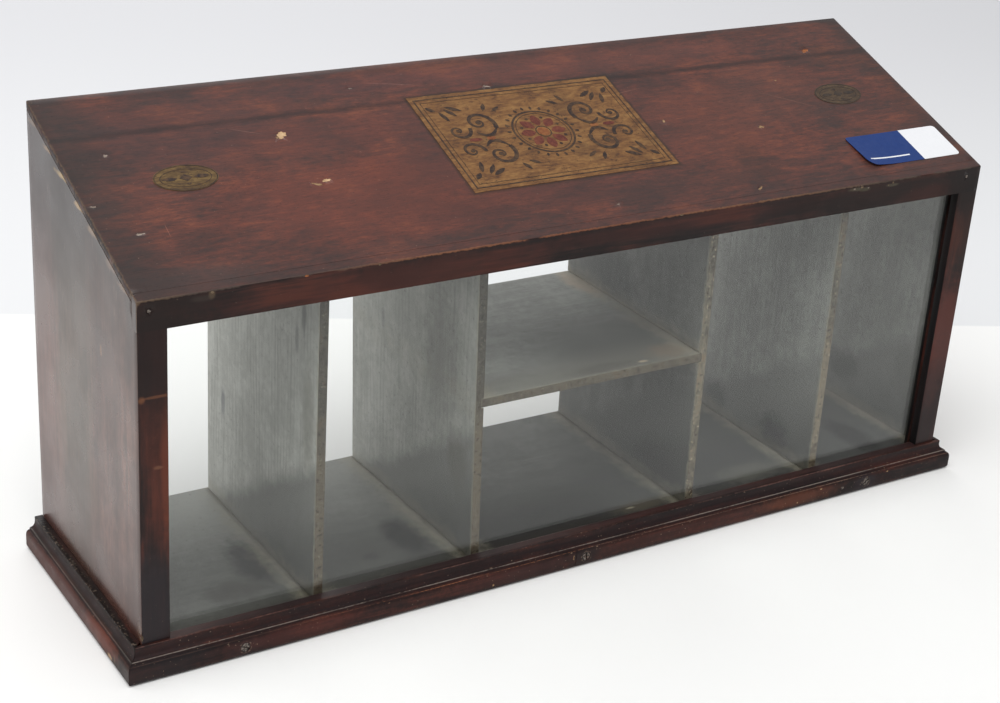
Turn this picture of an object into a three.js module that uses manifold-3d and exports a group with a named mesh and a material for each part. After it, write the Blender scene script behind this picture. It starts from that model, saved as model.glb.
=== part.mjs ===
// Wooden counter display case: sloping top, fixed glass front, open back,
// four dividers, one shelf and a cove moulding round the base.
// Millimetres, +Z up. The front faces -Y and the origin is under the middle of the case.
import * as THREE from 'three';
import { mergeVertices } from 'three/addons/utils/BufferGeometryUtils.js';
import Module from 'manifold-3d';

const wasm = await Module();
wasm.setup();

// Case
const caseWidth = 490; // over the outer faces of the side boards
const caseDepth = 133; // from the front faces of the stiles to the open back
const frontHeight = 186; // table to the front edge of the top
const backHeight = 235.5; // table to the back edge of the top

// Stock
const sideBoard = 4.5;
const topBoard = 4;
const floorBoard = 5;
const dividerBoard = 5;
const shelfBoard = 5;
const railStock = 5; // thickness of both rails, front to back
const glassThickness = 2.4;

// Front frame
const topRailHeight = 14.25;
const stileFace = 14; // side board and stile together, seen from the front
const stileDepth = 10;
const glassGrooveDepth = 3;

// Inside
const floorTop = 12.5; // table to the upper face of the floor board
const shelfUnder = 97.5; // table to the underside of the shelf
const housing = 1.5; // depth of the grooves that hold floor, dividers and shelf
const topJoint = 110; // along the slope, from the front edge to the joint of the two top boards

// Clear width of each bay at the floor, in front; the middle bay takes what is left
const bayLeftEnd = 85.8;
const bayLeft = 83.5;
const bayRight = 82;
const bayRightEnd = 79.5;

// No divider stands quite plumb: lean to the right per mm of height, and one is out of square
const dividerLeans = [-0.004, -0.033, -0.019, -0.0147];
const dividerTwoSwing = -2; // how far its back end stands off to the right

// Base moulding, measured outwards from the wall and upwards from the table
const mouldHeight = 17;
const mouldOut = 9; // projection at the sides
const mouldSetIn = 2.5; // the front length is this much thinner, planed off its back
const mouldFaceTop = 10.3; // top of the nose
const mouldNoseRound = 1.1;
const mouldFootRound = 1.5;
const mouldLipOut = 6.9; // lip below the cove
const mouldLipTop = 11.5;
const mouldLipFlat = 0.5;
const mouldFilletOut = 4.1; // flat fillet on top
const mouldFilletHeight = 2.3;

// Fasteners
const screwInsetLeft = 48.7; // insets are from the outer face of the side board
const screwInsetRight = 55.7;
const screwMiddle = -3.5; // from the middle of the case
const screwHeight = 5.3;
const screwHead = 4.6;
const screwShank = 2.2;
const screwLength = 10.5;
const screwSlot = 0.7;
const screwSunk = 0.2;
const bradInset = 73.2;
const bradHeight = 5.5;
const bradHead = 2;
const bradShank = 1.2;
const bradLength = 9.5;
const nailDrop = 4.9; // below the front edge of the top
const nailInsetLeft = 5.6;
const nailInsetRight = 10.1;
const nailHead = 1.8;
const nailShank = 1.1;
const nailLength = 9;
const headThickness = 0.5; // of the brad and the nails

// Transfers and label on the sloping top, along the slope from the front edge
const transferWidth = 122;
const transferHeight = 76;
const transferAside = 1.2; // from the middle of the case
const transferUp = 74.3;
const ovalWidth = 31.5;
const ovalHeight = 18.5;
const ovalInsetLeft = 52;
const ovalInsetRight = 48;
const ovalUp = 74;
const labelWidth = 66.7;
const labelHeight = 25.4;
const labelInset = 6; // of its right end
const labelUp = 24.6;
const labelCurlLength = 24;
const labelCurlAngle = 0.2; // radians at the lifted end
const skin = 0.3; // thickness of the transfers and the label

// Clearances
const slip = 0.15; // round a piece in its groove or hole
const seam = 0.3; // open joints and sloping seats
const glassTopRoom = 1;

// Worked out
const halfWidth = caseWidth / 2;
const slope = (backHeight - frontHeight) / caseDepth;
const slopeAngle = Math.atan(slope);
const topDrop = topBoard / Math.cos(slopeAngle); // through the top boards, measured plumb
const sideInner = halfWidth - sideBoard;
const openingHalf = halfWidth - stileFace;
const railUnder = frontHeight - topRailHeight;
const floorUnder = floorTop - floorBoard;
const glassFront = railStock + slip;
const glassBack = glassFront + glassThickness;
const dividerFront = glassBack + seam;
const mouldFrontOut = mouldOut - mouldSetIn;
const shelfTop = shelfUnder + shelfBoard;

// How far cutting shapes run past what they cut, and how finely round shapes are divided
const beyond = 20;
const past = 1;
const roundSides = 20;
const pinSides = 12;
const ovalSides = 36;
const arcSteps = 3;
const coveSteps = 4;
const curlSteps = 6;

const dividerFeet = [
  bayLeftEnd - sideInner,
  bayLeftEnd - sideInner + dividerBoard + bayLeft,
  sideInner - bayRightEnd - 2 * dividerBoard - bayRight,
  sideInner - bayRightEnd - dividerBoard,
];
const dividerPlaces = dividerFeet.map((foot, index) => ({
  foot,
  lean: dividerLeans[index],
  swing: index === 1 ? dividerTwoSwing : 0,
}));

const surfaceAt = (y) => frontHeight + slope * y;
const ceilingAt = (y) => surfaceAt(y) - topDrop - seam;

// Materials
const finish = (color, roughness, metalness = 0) =>
  new THREE.MeshStandardMaterial({ color, roughness, metalness });
const topWood = () => finish(0x6b4a44, 0.45);
const darkWood = () => finish(0x402e2b, 0.45);
const sideWood = () => finish(0x5c4a44, 0.4);
const bareWood = () => finish(0x6a6a64, 0.85);
const steel = () => finish(0x2b2826, 0.6, 0.7);
const gilt = () => finish(0x80643a, 0.5, 0.2);
const paper = () => finish(0xe9e9ec, 0.7);
const clearGlass = () => {
  const material = finish(0xdfe8e2, 0.05);
  material.transparent = true;
  material.opacity = 0.25;
  return material;
};

// Solids
function solid(geometry) {
  const bare = geometry.clone();
  bare.deleteAttribute('normal');
  bare.deleteAttribute('uv');
  const merged = mergeVertices(bare);
  return new wasm.Manifold(new wasm.Mesh({
    numProp: 3,
    vertProperties: new Float32Array(merged.attributes.position.array),
    triVerts: new Uint32Array(merged.index.array),
  }));
}

function geometryOf(body) {
  const mesh = body.getMesh();
  const geometry = new THREE.BufferGeometry();
  geometry.setAttribute('position', new THREE.BufferAttribute(mesh.vertProperties, 3));
  geometry.setIndex(new THREE.BufferAttribute(mesh.triVerts, 1));
  geometry.computeVertexNormals();
  return geometry;
}

function cut(body, ...tools) {
  let rest = solid(body);
  for (const tool of tools) {
    rest = rest.subtract(solid(tool));
  }
  return geometryOf(rest);
}

function joined(...geometries) {
  return geometryOf(geometries.map(solid).reduce((whole, next) => whole.add(next)));
}

function extruded(points, length) {
  const shape = new THREE.Shape(points.map(([a, b]) => new THREE.Vector2(a, b)));
  return new THREE.ExtrudeGeometry(shape, { depth: length, bevelEnabled: false });
}

// points are [y, z]
function alongX(points, x0, x1) {
  const toX = new THREE.Matrix4().set(0, 0, 1, x0, 1, 0, 0, 0, 0, 1, 0, 0, 0, 0, 0, 1);
  return extruded(points, x1 - x0).applyMatrix4(toX);
}

// points are [x, z]
function alongY(points, y0, y1) {
  const toY = new THREE.Matrix4().set(1, 0, 0, 0, 0, 0, -1, y1, 0, 1, 0, 0, 0, 0, 0, 1);
  return extruded(points, y1 - y0).applyMatrix4(toY);
}

// points are [x, y]
function alongZ(points, z0, z1) {
  return extruded(points, z1 - z0).translate(0, 0, z0);
}

function block(x0, x1, y0, y1, z0, z1) {
  const box = new THREE.BoxGeometry(x1 - x0, y1 - y0, z1 - z0);
  return box.translate((x0 + x1) / 2, (y0 + y1) / 2, (z0 + z1) / 2);
}

// A turned pin along +Y whose head starts at y = 0; profile rows are [radius, y]
function turned(profile, sides = roundSides) {
  const points = profile.map(([radius, y]) => new THREE.Vector2(radius, y));
  return new THREE.LatheGeometry(points, sides);
}

function arc(cx, cz, radius, from, to, steps) {
  const points = [];
  for (let i = 0; i <= steps; i += 1) {
    const angle = from + ((to - from) * i) / steps;
    points.push([cx + radius * Math.cos(angle), cz + radius * Math.sin(angle)]);
  }
  return points;
}

function piece(name, geometry, material) {
  const mesh = new THREE.Mesh(geometry, material);
  mesh.name = name;
  return mesh;
}

// Side boards
function sideBoardMesh(name, hand) {
  const profile = [
    [0, 0],
    [caseDepth, 0],
    [caseDepth, ceilingAt(caseDepth)],
    [railStock, ceilingAt(railStock)],
    [railStock, railUnder],
    [0, railUnder],
  ];
  const inner = hand * sideInner;
  const outer = hand * halfWidth;
  const board = alongX(profile, Math.min(inner, outer), Math.max(inner, outer));
  const reach = hand * (sideInner + housing);
  const near = hand * (sideInner - housing);
  const groove = block(
    Math.min(near, reach), Math.max(near, reach),
    stileDepth, caseDepth + beyond,
    floorUnder - slip, floorTop + slip,
  );
  return piece(name, cut(board, groove), sideWood());
}

// Sloping top
function topFrontMesh() {
  const front = railStock + slip;
  const jointY = topJoint * Math.cos(slopeAngle);
  const jointZ = frontHeight + topJoint * Math.sin(slopeAngle);
  const profile = [
    [front, surfaceAt(front) - topDrop],
    [jointY + topBoard * Math.sin(slopeAngle), jointZ - topBoard * Math.cos(slopeAngle)],
    [jointY, jointZ],
    [front, surfaceAt(front)],
  ];
  return piece('top_board_front', alongX(profile, -halfWidth, halfWidth), topWood());
}

function topRearMesh() {
  const start = topJoint + seam;
  const jointY = start * Math.cos(slopeAngle);
  const jointZ = frontHeight + start * Math.sin(slopeAngle);
  const profile = [
    [jointY + topBoard * Math.sin(slopeAngle), jointZ - topBoard * Math.cos(slopeAngle)],
    [caseDepth, backHeight - topDrop],
    [caseDepth, backHeight],
    [jointY, jointZ],
  ];
  return piece('top_board_rear', alongX(profile, -halfWidth, halfWidth), topWood());
}

// Front frame
function pinHole(x, z, y0, y1, diameter) {
  const hole = turned([[0, y0], [diameter / 2 + slip, y0], [diameter / 2 + slip, y1], [0, y1]]);
  return hole.translate(x, 0, z);
}

const nailZ = frontHeight - nailDrop;
const nailPlaces = [
  { name: 'rail_nail_left', x: nailInsetLeft - halfWidth, z: nailZ },
  { name: 'rail_nail_right', x: halfWidth - nailInsetRight, z: nailZ },
];
const screwPlaces = [
  { name: 'moulding_screw_left', x: screwInsetLeft - halfWidth, z: screwHeight, turn: 0.5 },
  { name: 'moulding_screw_middle', x: screwMiddle, z: screwHeight, turn: 1.4 },
  { name: 'moulding_screw_right', x: halfWidth - screwInsetRight, z: screwHeight, turn: 2.6 },
];
const bradPlace = { x: halfWidth - bradInset, z: bradHeight };

function topRailMesh() {
  const profile = [
    [0, railUnder],
    [railStock, railUnder],
    [railStock, surfaceAt(railStock)],
    [0, frontHeight],
  ];
  const holes = [];
  for (const { x, z } of nailPlaces) {
    holes.push(pinHole(x, z, -past, headThickness + slip, nailHead));
    holes.push(pinHole(x, z, 0, railStock + past, nailShank));
  }
  return piece('top_rail', cut(alongX(profile, -halfWidth, halfWidth), ...holes), darkWood());
}

function bottomRailMesh() {
  const board = block(-openingHalf, openingHalf, 0, railStock, 0, mouldHeight);
  const end = screwLength + screwSunk - mouldFrontOut + 2 * slip;
  const holes = screwPlaces.map(({ x, z }) => pinHole(x, z, -past, end, screwShank));
  const bradEnd = bradLength - mouldFrontOut + 2 * slip;
  holes.push(pinHole(bradPlace.x, bradPlace.z, -past, bradEnd, bradShank));
  return piece('bottom_rail', cut(board, ...holes), darkWood());
}

function stileMesh(name, hand, nail) {
  const span = (from, to) => [Math.min(hand * from, hand * to), Math.max(hand * from, hand * to)];
  const bed = openingHalf + glassGrooveDepth;
  const grooveBack = glassBack + slip;
  const post = alongX([
    [0, 0],
    [stileDepth, 0],
    [stileDepth, ceilingAt(stileDepth)],
    [railStock, ceilingAt(railStock)],
    [railStock, railUnder],
    [0, railUnder],
  ], ...span(bed, sideInner));
  const lips = span(openingHalf, bed + past);
  const frontLip = block(...lips, 0, railStock, 0, railUnder);
  const backLip = alongX([
    [grooveBack, 0],
    [stileDepth, 0],
    [stileDepth, ceilingAt(stileDepth)],
    [grooveBack, ceilingAt(grooveBack)],
  ], ...lips);
  const hole = pinHole(nail.x, nail.z, 0, nailLength + 2 * slip, nailShank);
  return piece(name, cut(joined(post, frontLip, backLip), hole), darkWood());
}

function glassMesh() {
  const edge = openingHalf + glassGrooveDepth - 2 * slip;
  const top = ceilingAt(glassFront) - glassTopRoom;
  return piece('glass_pane', block(-edge, edge, glassFront, glassBack, floorTop, top), clearGlass());
}

// Floor, dividers and shelf
function leaned(geometry, { foot, lean, swing }) {
  const swingRate = swing / (caseDepth - dividerFront);
  const offset = foot - lean * floorTop - swingRate * dividerFront;
  const matrix = new THREE.Matrix4().set(
    1, swingRate, lean, offset,
    0, 1, 0, 0,
    0, 0, 1, 0,
    0, 0, 0, 1,
  );
  return geometry.applyMatrix4(matrix);
}

function leftFaceAt({ foot, lean, swing }, y, z) {
  return foot + lean * (z - floorTop) + (swing * (y - dividerFront)) / (caseDepth - dividerFront);
}

function dividerBlank(place, thickness, side, front, back, grown) {
  const profile = [
    [front, floorTop - side],
    [back, floorTop - side],
    [back, ceilingAt(back)],
    [front, ceilingAt(front)],
  ];
  return leaned(alongX(profile, -grown, thickness + grown), place);
}

// Plan of the shelf; room widens it for the grooves that take it
function shelfPlan(room) {
  const middle = shelfUnder + shelfBoard / 2;
  const front = dividerFront - room * beyond;
  const back = caseDepth + room * beyond;
  const leftAt = (y) => leftFaceAt(dividerPlaces[1], y, middle) + dividerBoard - housing;
  const rightAt = (y) => leftFaceAt(dividerPlaces[2], y, middle) + housing;
  return [
    [leftAt(front) - room, front],
    [rightAt(front) + room, front],
    [rightAt(back) + room, back],
    [leftAt(back) - room, back],
  ];
}

function shelfMesh() {
  return piece('centre_shelf', alongZ(shelfPlan(0), shelfUnder, shelfTop), bareWood());
}

function dividerMesh(index) {
  const place = dividerPlaces[index];
  const blank = dividerBlank(place, dividerBoard, housing - slip, dividerFront, caseDepth, 0);
  const carriesShelf = index === 1 || index === 2;
  const groove = alongZ(shelfPlan(slip), shelfUnder - slip, shelfTop + slip);
  const board = carriesShelf ? cut(blank, groove) : blank;
  return piece(`divider_${index + 1}`, board, bareWood());
}

function floorMesh() {
  const side = sideInner + housing - slip;
  const notch = openingHalf - slip;
  const notchBack = stileDepth + slip;
  const plan = [
    [-notch, railStock],
    [notch, railStock],
    [notch, notchBack],
    [side, notchBack],
    [side, caseDepth],
    [-side, caseDepth],
    [-side, notchBack],
    [-notch, notchBack],
  ];
  const grooves = dividerPlaces.map((place) =>
    dividerBlank(place, dividerBoard, housing, dividerFront - slip, caseDepth + beyond, slip));
  return piece('floor_board', cut(alongZ(plan, floorUnder, floorTop), ...grooves), bareWood());
}

// Base moulding: rows are [out from the wall, up from the table]
function mouldingProfile() {
  const quarter = Math.PI / 2;
  const coveDrop = mouldHeight - mouldFilletHeight - mouldLipTop;
  const coveRun = mouldLipOut - mouldLipFlat - mouldFilletOut;
  const cove = arc(0, 0, 1, -quarter, -2 * quarter, coveSteps).map(([a, b]) => [
    mouldLipOut - mouldLipFlat + a * coveRun,
    mouldHeight - mouldFilletHeight + b * coveDrop,
  ]);
  return [
    [0, 0],
    ...arc(mouldOut - mouldFootRound, mouldFootRound, mouldFootRound, -quarter, 0, arcSteps),
    ...arc(mouldOut - mouldNoseRound, mouldFaceTop - mouldNoseRound, mouldNoseRound,
      0, quarter, arcSteps),
    [mouldLipOut, mouldFaceTop],
    [mouldLipOut, mouldLipTop],
    ...cove,
    [mouldFilletOut, mouldHeight],
    [0, mouldHeight],
  ];
}

function frontMouldingMesh() {
  const profile = mouldingProfile().map(([out, up]) => [-Math.max(0, out - mouldSetIn), up]);
  const length = halfWidth + mouldOut;
  const strip = alongX(profile, -length, length);
  const tools = [-1, 1].map((hand) => {
    const inner = halfWidth + mouldSetIn - seam;
    const reach = mouldFrontOut + beyond;
    const plan = [
      [hand * (inner - beyond), beyond],
      [hand * (inner + reach), -reach],
      [hand * (inner + reach), beyond],
    ];
    return alongZ(plan, -past, mouldHeight + past);
  });
  const face = -mouldFrontOut;
  for (const { x, z } of screwPlaces) {
    tools.push(screwBody(slip).translate(x, face + screwSunk, z));
    tools.push(pinHole(x, z, face - past, face + screwSunk + slip, screwHead));
  }
  tools.push(pinHole(bradPlace.x, bradPlace.z, face - past, face + headThickness + slip, bradHead));
  tools.push(pinHole(bradPlace.x, bradPlace.z, face, past, bradShank));
  return piece('base_moulding_front', cut(strip, ...tools), darkWood());
}

function sideMouldingMesh(name, hand) {
  const profile = mouldingProfile().map(([out, up]) => [hand * (halfWidth + out), up]);
  const strip = alongY(profile, -mouldFrontOut, caseDepth);
  const reach = mouldOut + beyond;
  const mitre = [
    [hand * (halfWidth - past), -reach],
    [hand * (halfWidth - past), mouldSetIn + past],
    [hand * (halfWidth + reach), mouldSetIn - reach],
  ];
  return piece(name, cut(strip, alongZ(mitre, -past, mouldHeight + past)), darkWood());
}

// Fasteners
function screwBody(room) {
  const head = screwHead / 2 + room;
  const shank = screwShank / 2 + room;
  const taper = (screwHead - screwShank) / 2;
  return turned([[0, -room], [head, -room], [head, room], [shank, taper + room],
    [shank, screwLength + room], [0, screwLength + room]]);
}

function screwMesh({ name, x, z, turn }) {
  const slot = block(-screwHead, screwHead, -past, screwSlot, -screwSlot / 2, screwSlot / 2);
  const screw = cut(screwBody(0), slot.rotateY(turn));
  return piece(name, screw.translate(x, -mouldFrontOut + screwSunk, z), steel());
}

function pin(head, shank, length) {
  return turned([[0, 0], [head / 2, 0], [head / 2, headThickness], [shank / 2, headThickness],
    [shank / 2, length], [0, length]], pinSides);
}

function bradMesh() {
  const brad = pin(bradHead, bradShank, bradLength);
  return piece('moulding_brad', brad.translate(bradPlace.x, -mouldFrontOut, bradPlace.z), steel());
}

function nailMesh({ name, x, z }) {
  return piece(name, pin(nailHead, nailShank, nailLength).translate(x, 0, z), steel());
}

// Transfers and label, in the plane of the top: x across, y up the slope, z off the surface
function transferMesh() {
  const x = transferWidth / 2;
  const y = transferHeight / 2;
  const mesh = piece('top_transfer', alongZ([[-x, -y], [x, -y], [x, y], [-x, y]], 0, skin), gilt());
  mesh.position.set(transferAside, transferUp, seam);
  return mesh;
}

function ovalMesh(name, x) {
  const outline = new THREE.EllipseCurve(0, 0, ovalWidth / 2, ovalHeight / 2).getPoints(ovalSides);
  const shape = new THREE.Shape(outline.slice(0, -1));
  const geometry = new THREE.ExtrudeGeometry(shape, { depth: skin, bevelEnabled: false });
  const mesh = piece(name, geometry, gilt());
  mesh.position.set(x, ovalUp, seam);
  return mesh;
}

function labelMesh() {
  const flat = labelWidth - labelCurlLength;
  const radius = labelCurlLength / labelCurlAngle;
  const under = [[0, 0]];
  const over = [[0, skin]];
  for (let i = 0; i <= curlSteps; i += 1) {
    const angle = (labelCurlAngle * i) / curlSteps;
    const x = -flat - radius * Math.sin(angle);
    const lift = radius * (1 - Math.cos(angle));
    under.push([x, lift]);
    over.push([x - skin * Math.sin(angle), lift + skin * Math.cos(angle)]);
  }
  const strip = [...under, ...over.reverse()];
  const mesh = piece('paper_label', alongY(strip, -labelHeight / 2, labelHeight / 2), paper());
  mesh.position.set(halfWidth - labelInset, labelUp, seam);
  return mesh;
}

const slopingTop = new THREE.Group();
slopingTop.position.set(0, 0, frontHeight);
slopingTop.rotation.x = slopeAngle;
slopingTop.add(
  transferMesh(),
  ovalMesh('oval_transfer_left', ovalInsetLeft - halfWidth),
  ovalMesh('oval_transfer_right', halfWidth - ovalInsetRight),
  labelMesh(),
);

const displayCase = new THREE.Group();
displayCase.name = 'display_case';
displayCase.position.y = (mouldFrontOut - caseDepth) / 2;
displayCase.add(
  sideBoardMesh('side_board_left', -1),
  sideBoardMesh('side_board_right', 1),
  topFrontMesh(),
  topRearMesh(),
  topRailMesh(),
  bottomRailMesh(),
  stileMesh('front_stile_left', -1, nailPlaces[0]),
  stileMesh('front_stile_right', 1, nailPlaces[1]),
  glassMesh(),
  floorMesh(),
  ...dividerPlaces.map((place, index) => dividerMesh(index)),
  shelfMesh(),
  frontMouldingMesh(),
  sideMouldingMesh('base_moulding_left', -1),
  sideMouldingMesh('base_moulding_right', 1),
  ...screwPlaces.map(screwMesh),
  bradMesh(),
  ...nailPlaces.map(nailMesh),
  slopingTop,
);

const group = new THREE.Group();
group.add(displayCase);

export default group;
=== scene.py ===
import math
import random

import bmesh
import bpy
import numpy as np
from mathutils import Matrix, Vector, noise


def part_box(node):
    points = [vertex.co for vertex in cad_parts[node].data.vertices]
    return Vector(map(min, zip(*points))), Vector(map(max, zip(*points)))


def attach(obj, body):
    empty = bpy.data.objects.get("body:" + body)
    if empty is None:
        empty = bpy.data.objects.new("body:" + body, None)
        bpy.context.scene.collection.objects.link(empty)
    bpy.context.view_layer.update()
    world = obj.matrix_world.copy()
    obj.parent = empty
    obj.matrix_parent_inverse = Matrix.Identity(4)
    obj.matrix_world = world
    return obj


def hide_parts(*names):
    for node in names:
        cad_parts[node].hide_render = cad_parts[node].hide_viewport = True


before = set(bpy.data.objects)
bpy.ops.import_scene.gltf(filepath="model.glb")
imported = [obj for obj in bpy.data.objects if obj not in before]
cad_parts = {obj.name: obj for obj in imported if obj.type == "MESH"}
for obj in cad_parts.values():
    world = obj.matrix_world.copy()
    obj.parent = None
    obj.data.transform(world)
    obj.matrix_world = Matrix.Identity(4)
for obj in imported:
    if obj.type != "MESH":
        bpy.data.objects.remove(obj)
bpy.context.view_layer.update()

MM = 0.001

# The camera fitted to the photograph, in metres in the part's frame
CAMERA_AT = Vector((-0.51491, -0.75215, 0.50016))
CAMERA_RIGHT = Vector((0.849061, -0.524442, 0.063681))
CAMERA_UP = Vector((0.166195, 0.379577, 0.910110))
CAMERA_FOCAL_PX = 1887.5
IMAGE_WIDTH_PX = 1000
SENSOR_MM = 36

# Places taken from the frame
SIDE_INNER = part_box("side_board_right")[0].x
HALF_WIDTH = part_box("side_board_right")[1].x
OPENING_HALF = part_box("front_stile_right")[0].x
FRONT_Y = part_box("top_rail")[0].y
RAIL_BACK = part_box("top_rail")[1].y
RAIL_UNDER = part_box("top_rail")[0].z
BACK_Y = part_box("side_board_left")[1].y
FLOOR_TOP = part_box("floor_board")[1].z
SHELF_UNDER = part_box("centre_shelf")[0].z
SHELF_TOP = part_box("centre_shelf")[1].z
MOULD_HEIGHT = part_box("base_moulding_left")[1].z
MOULD_OUT = -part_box("base_moulding_left")[0].x - HALF_WIDTH
MOULD_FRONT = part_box("base_moulding_front")[0].y
MOULD_SET_IN = MOULD_OUT - (FRONT_Y - MOULD_FRONT)
BACK_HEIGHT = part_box("top_board_rear")[1].z
FRONT_HEIGHT = 0.186
SLOPE = math.atan2(BACK_HEIGHT - FRONT_HEIGHT, BACK_Y - FRONT_Y)
SLOPE_MATRIX = Matrix.Translation((0, FRONT_Y, FRONT_HEIGHT)) @ Matrix.Rotation(SLOPE, 4, "X")
TOP_JOINT = 0.110
DIVIDERS = [f"divider_{i}" for i in range(1, 5)]
SCREWS = [f"moulding_screw_{place}" for place in ("left", "middle", "right")]
UP, FRONT, BACK, LEFT, RIGHT = (0, 0, 1), (0, -1, 0), (0, 1, 0), (-1, 0, 0), (1, 0, 0)
OFF_SLOPE = (0, -math.sin(SLOPE), math.cos(SLOPE))
UP_SLOPE = (0, math.cos(SLOPE), math.sin(SLOPE))


def on_top(x, up, off=0.0):
    """A point on the sloping top: across, up the slope from its front edge, and off its surface."""
    return SLOPE_MATRIX @ Vector((x, up, off))


# Places of marks, given in mm and returned in metres

def mark(from_left, up):
    """On the top, from its left end and up the slope, in the top's own coordinates."""
    return (from_left * MM - HALF_WIDTH, FRONT_Y + up * MM, FRONT_HEIGHT)


def front_at(x, z):
    return (x * MM, FRONT_Y, z * MM)


def base_at(x, z):
    return (x * MM, MOULD_FRONT, z * MM)


def left_side(y, z):
    return (-HALF_WIDTH, y * MM, z * MM)


def inner_side(y, z):
    return (SIDE_INNER, y * MM, z * MM)


def on_floor(x, y):
    return (x * MM, y * MM, FLOOR_TOP)


def on_shelf(x, y):
    return (x * MM, y * MM, SHELF_TOP)


def anywhere(x, y, z):
    return (x * MM, y * MM, z * MM)


# Camera, lamps, floor

def add_camera():
    data = bpy.data.cameras.new("camera")
    data.sensor_width = SENSOR_MM
    data.lens = CAMERA_FOCAL_PX * SENSOR_MM / IMAGE_WIDTH_PX
    data.clip_start = 0.01
    data.clip_end = 50
    camera = bpy.data.objects.new("camera", data)
    turn = Matrix((CAMERA_RIGHT, CAMERA_UP, CAMERA_RIGHT.cross(CAMERA_UP))).transposed()
    camera.matrix_world = Matrix.Translation(CAMERA_AT) @ turn.to_4x4()
    bpy.context.scene.collection.objects.link(camera)
    bpy.context.scene.camera = camera


def add_lamp(name, at, size, power):
    """A square lamp turned to the case, in metres and watts."""
    data = bpy.data.lights.new(name, "AREA")
    data.shape = "SQUARE"
    data.size = size
    data.energy = power
    lamp = bpy.data.objects.new(name, data)
    lamp.location = at
    lamp.rotation_mode = "QUATERNION"
    lamp.rotation_quaternion = (Vector((0, 0, 0.1)) - Vector(at)).to_track_quat("-Z", "Y")
    bpy.context.scene.collection.objects.link(lamp)


def linear(tone):
    """A tone written in 0 to 255, as a linear colour with alpha. Anything else stays as it is."""
    if not isinstance(tone, tuple) or len(tone) != 3:
        return tone
    return tuple((c / 255 / 12.92) if c <= 10 else ((c / 255 + 0.055) / 1.055) ** 2.4
                 for c in tone) + (1.0,)


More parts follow.
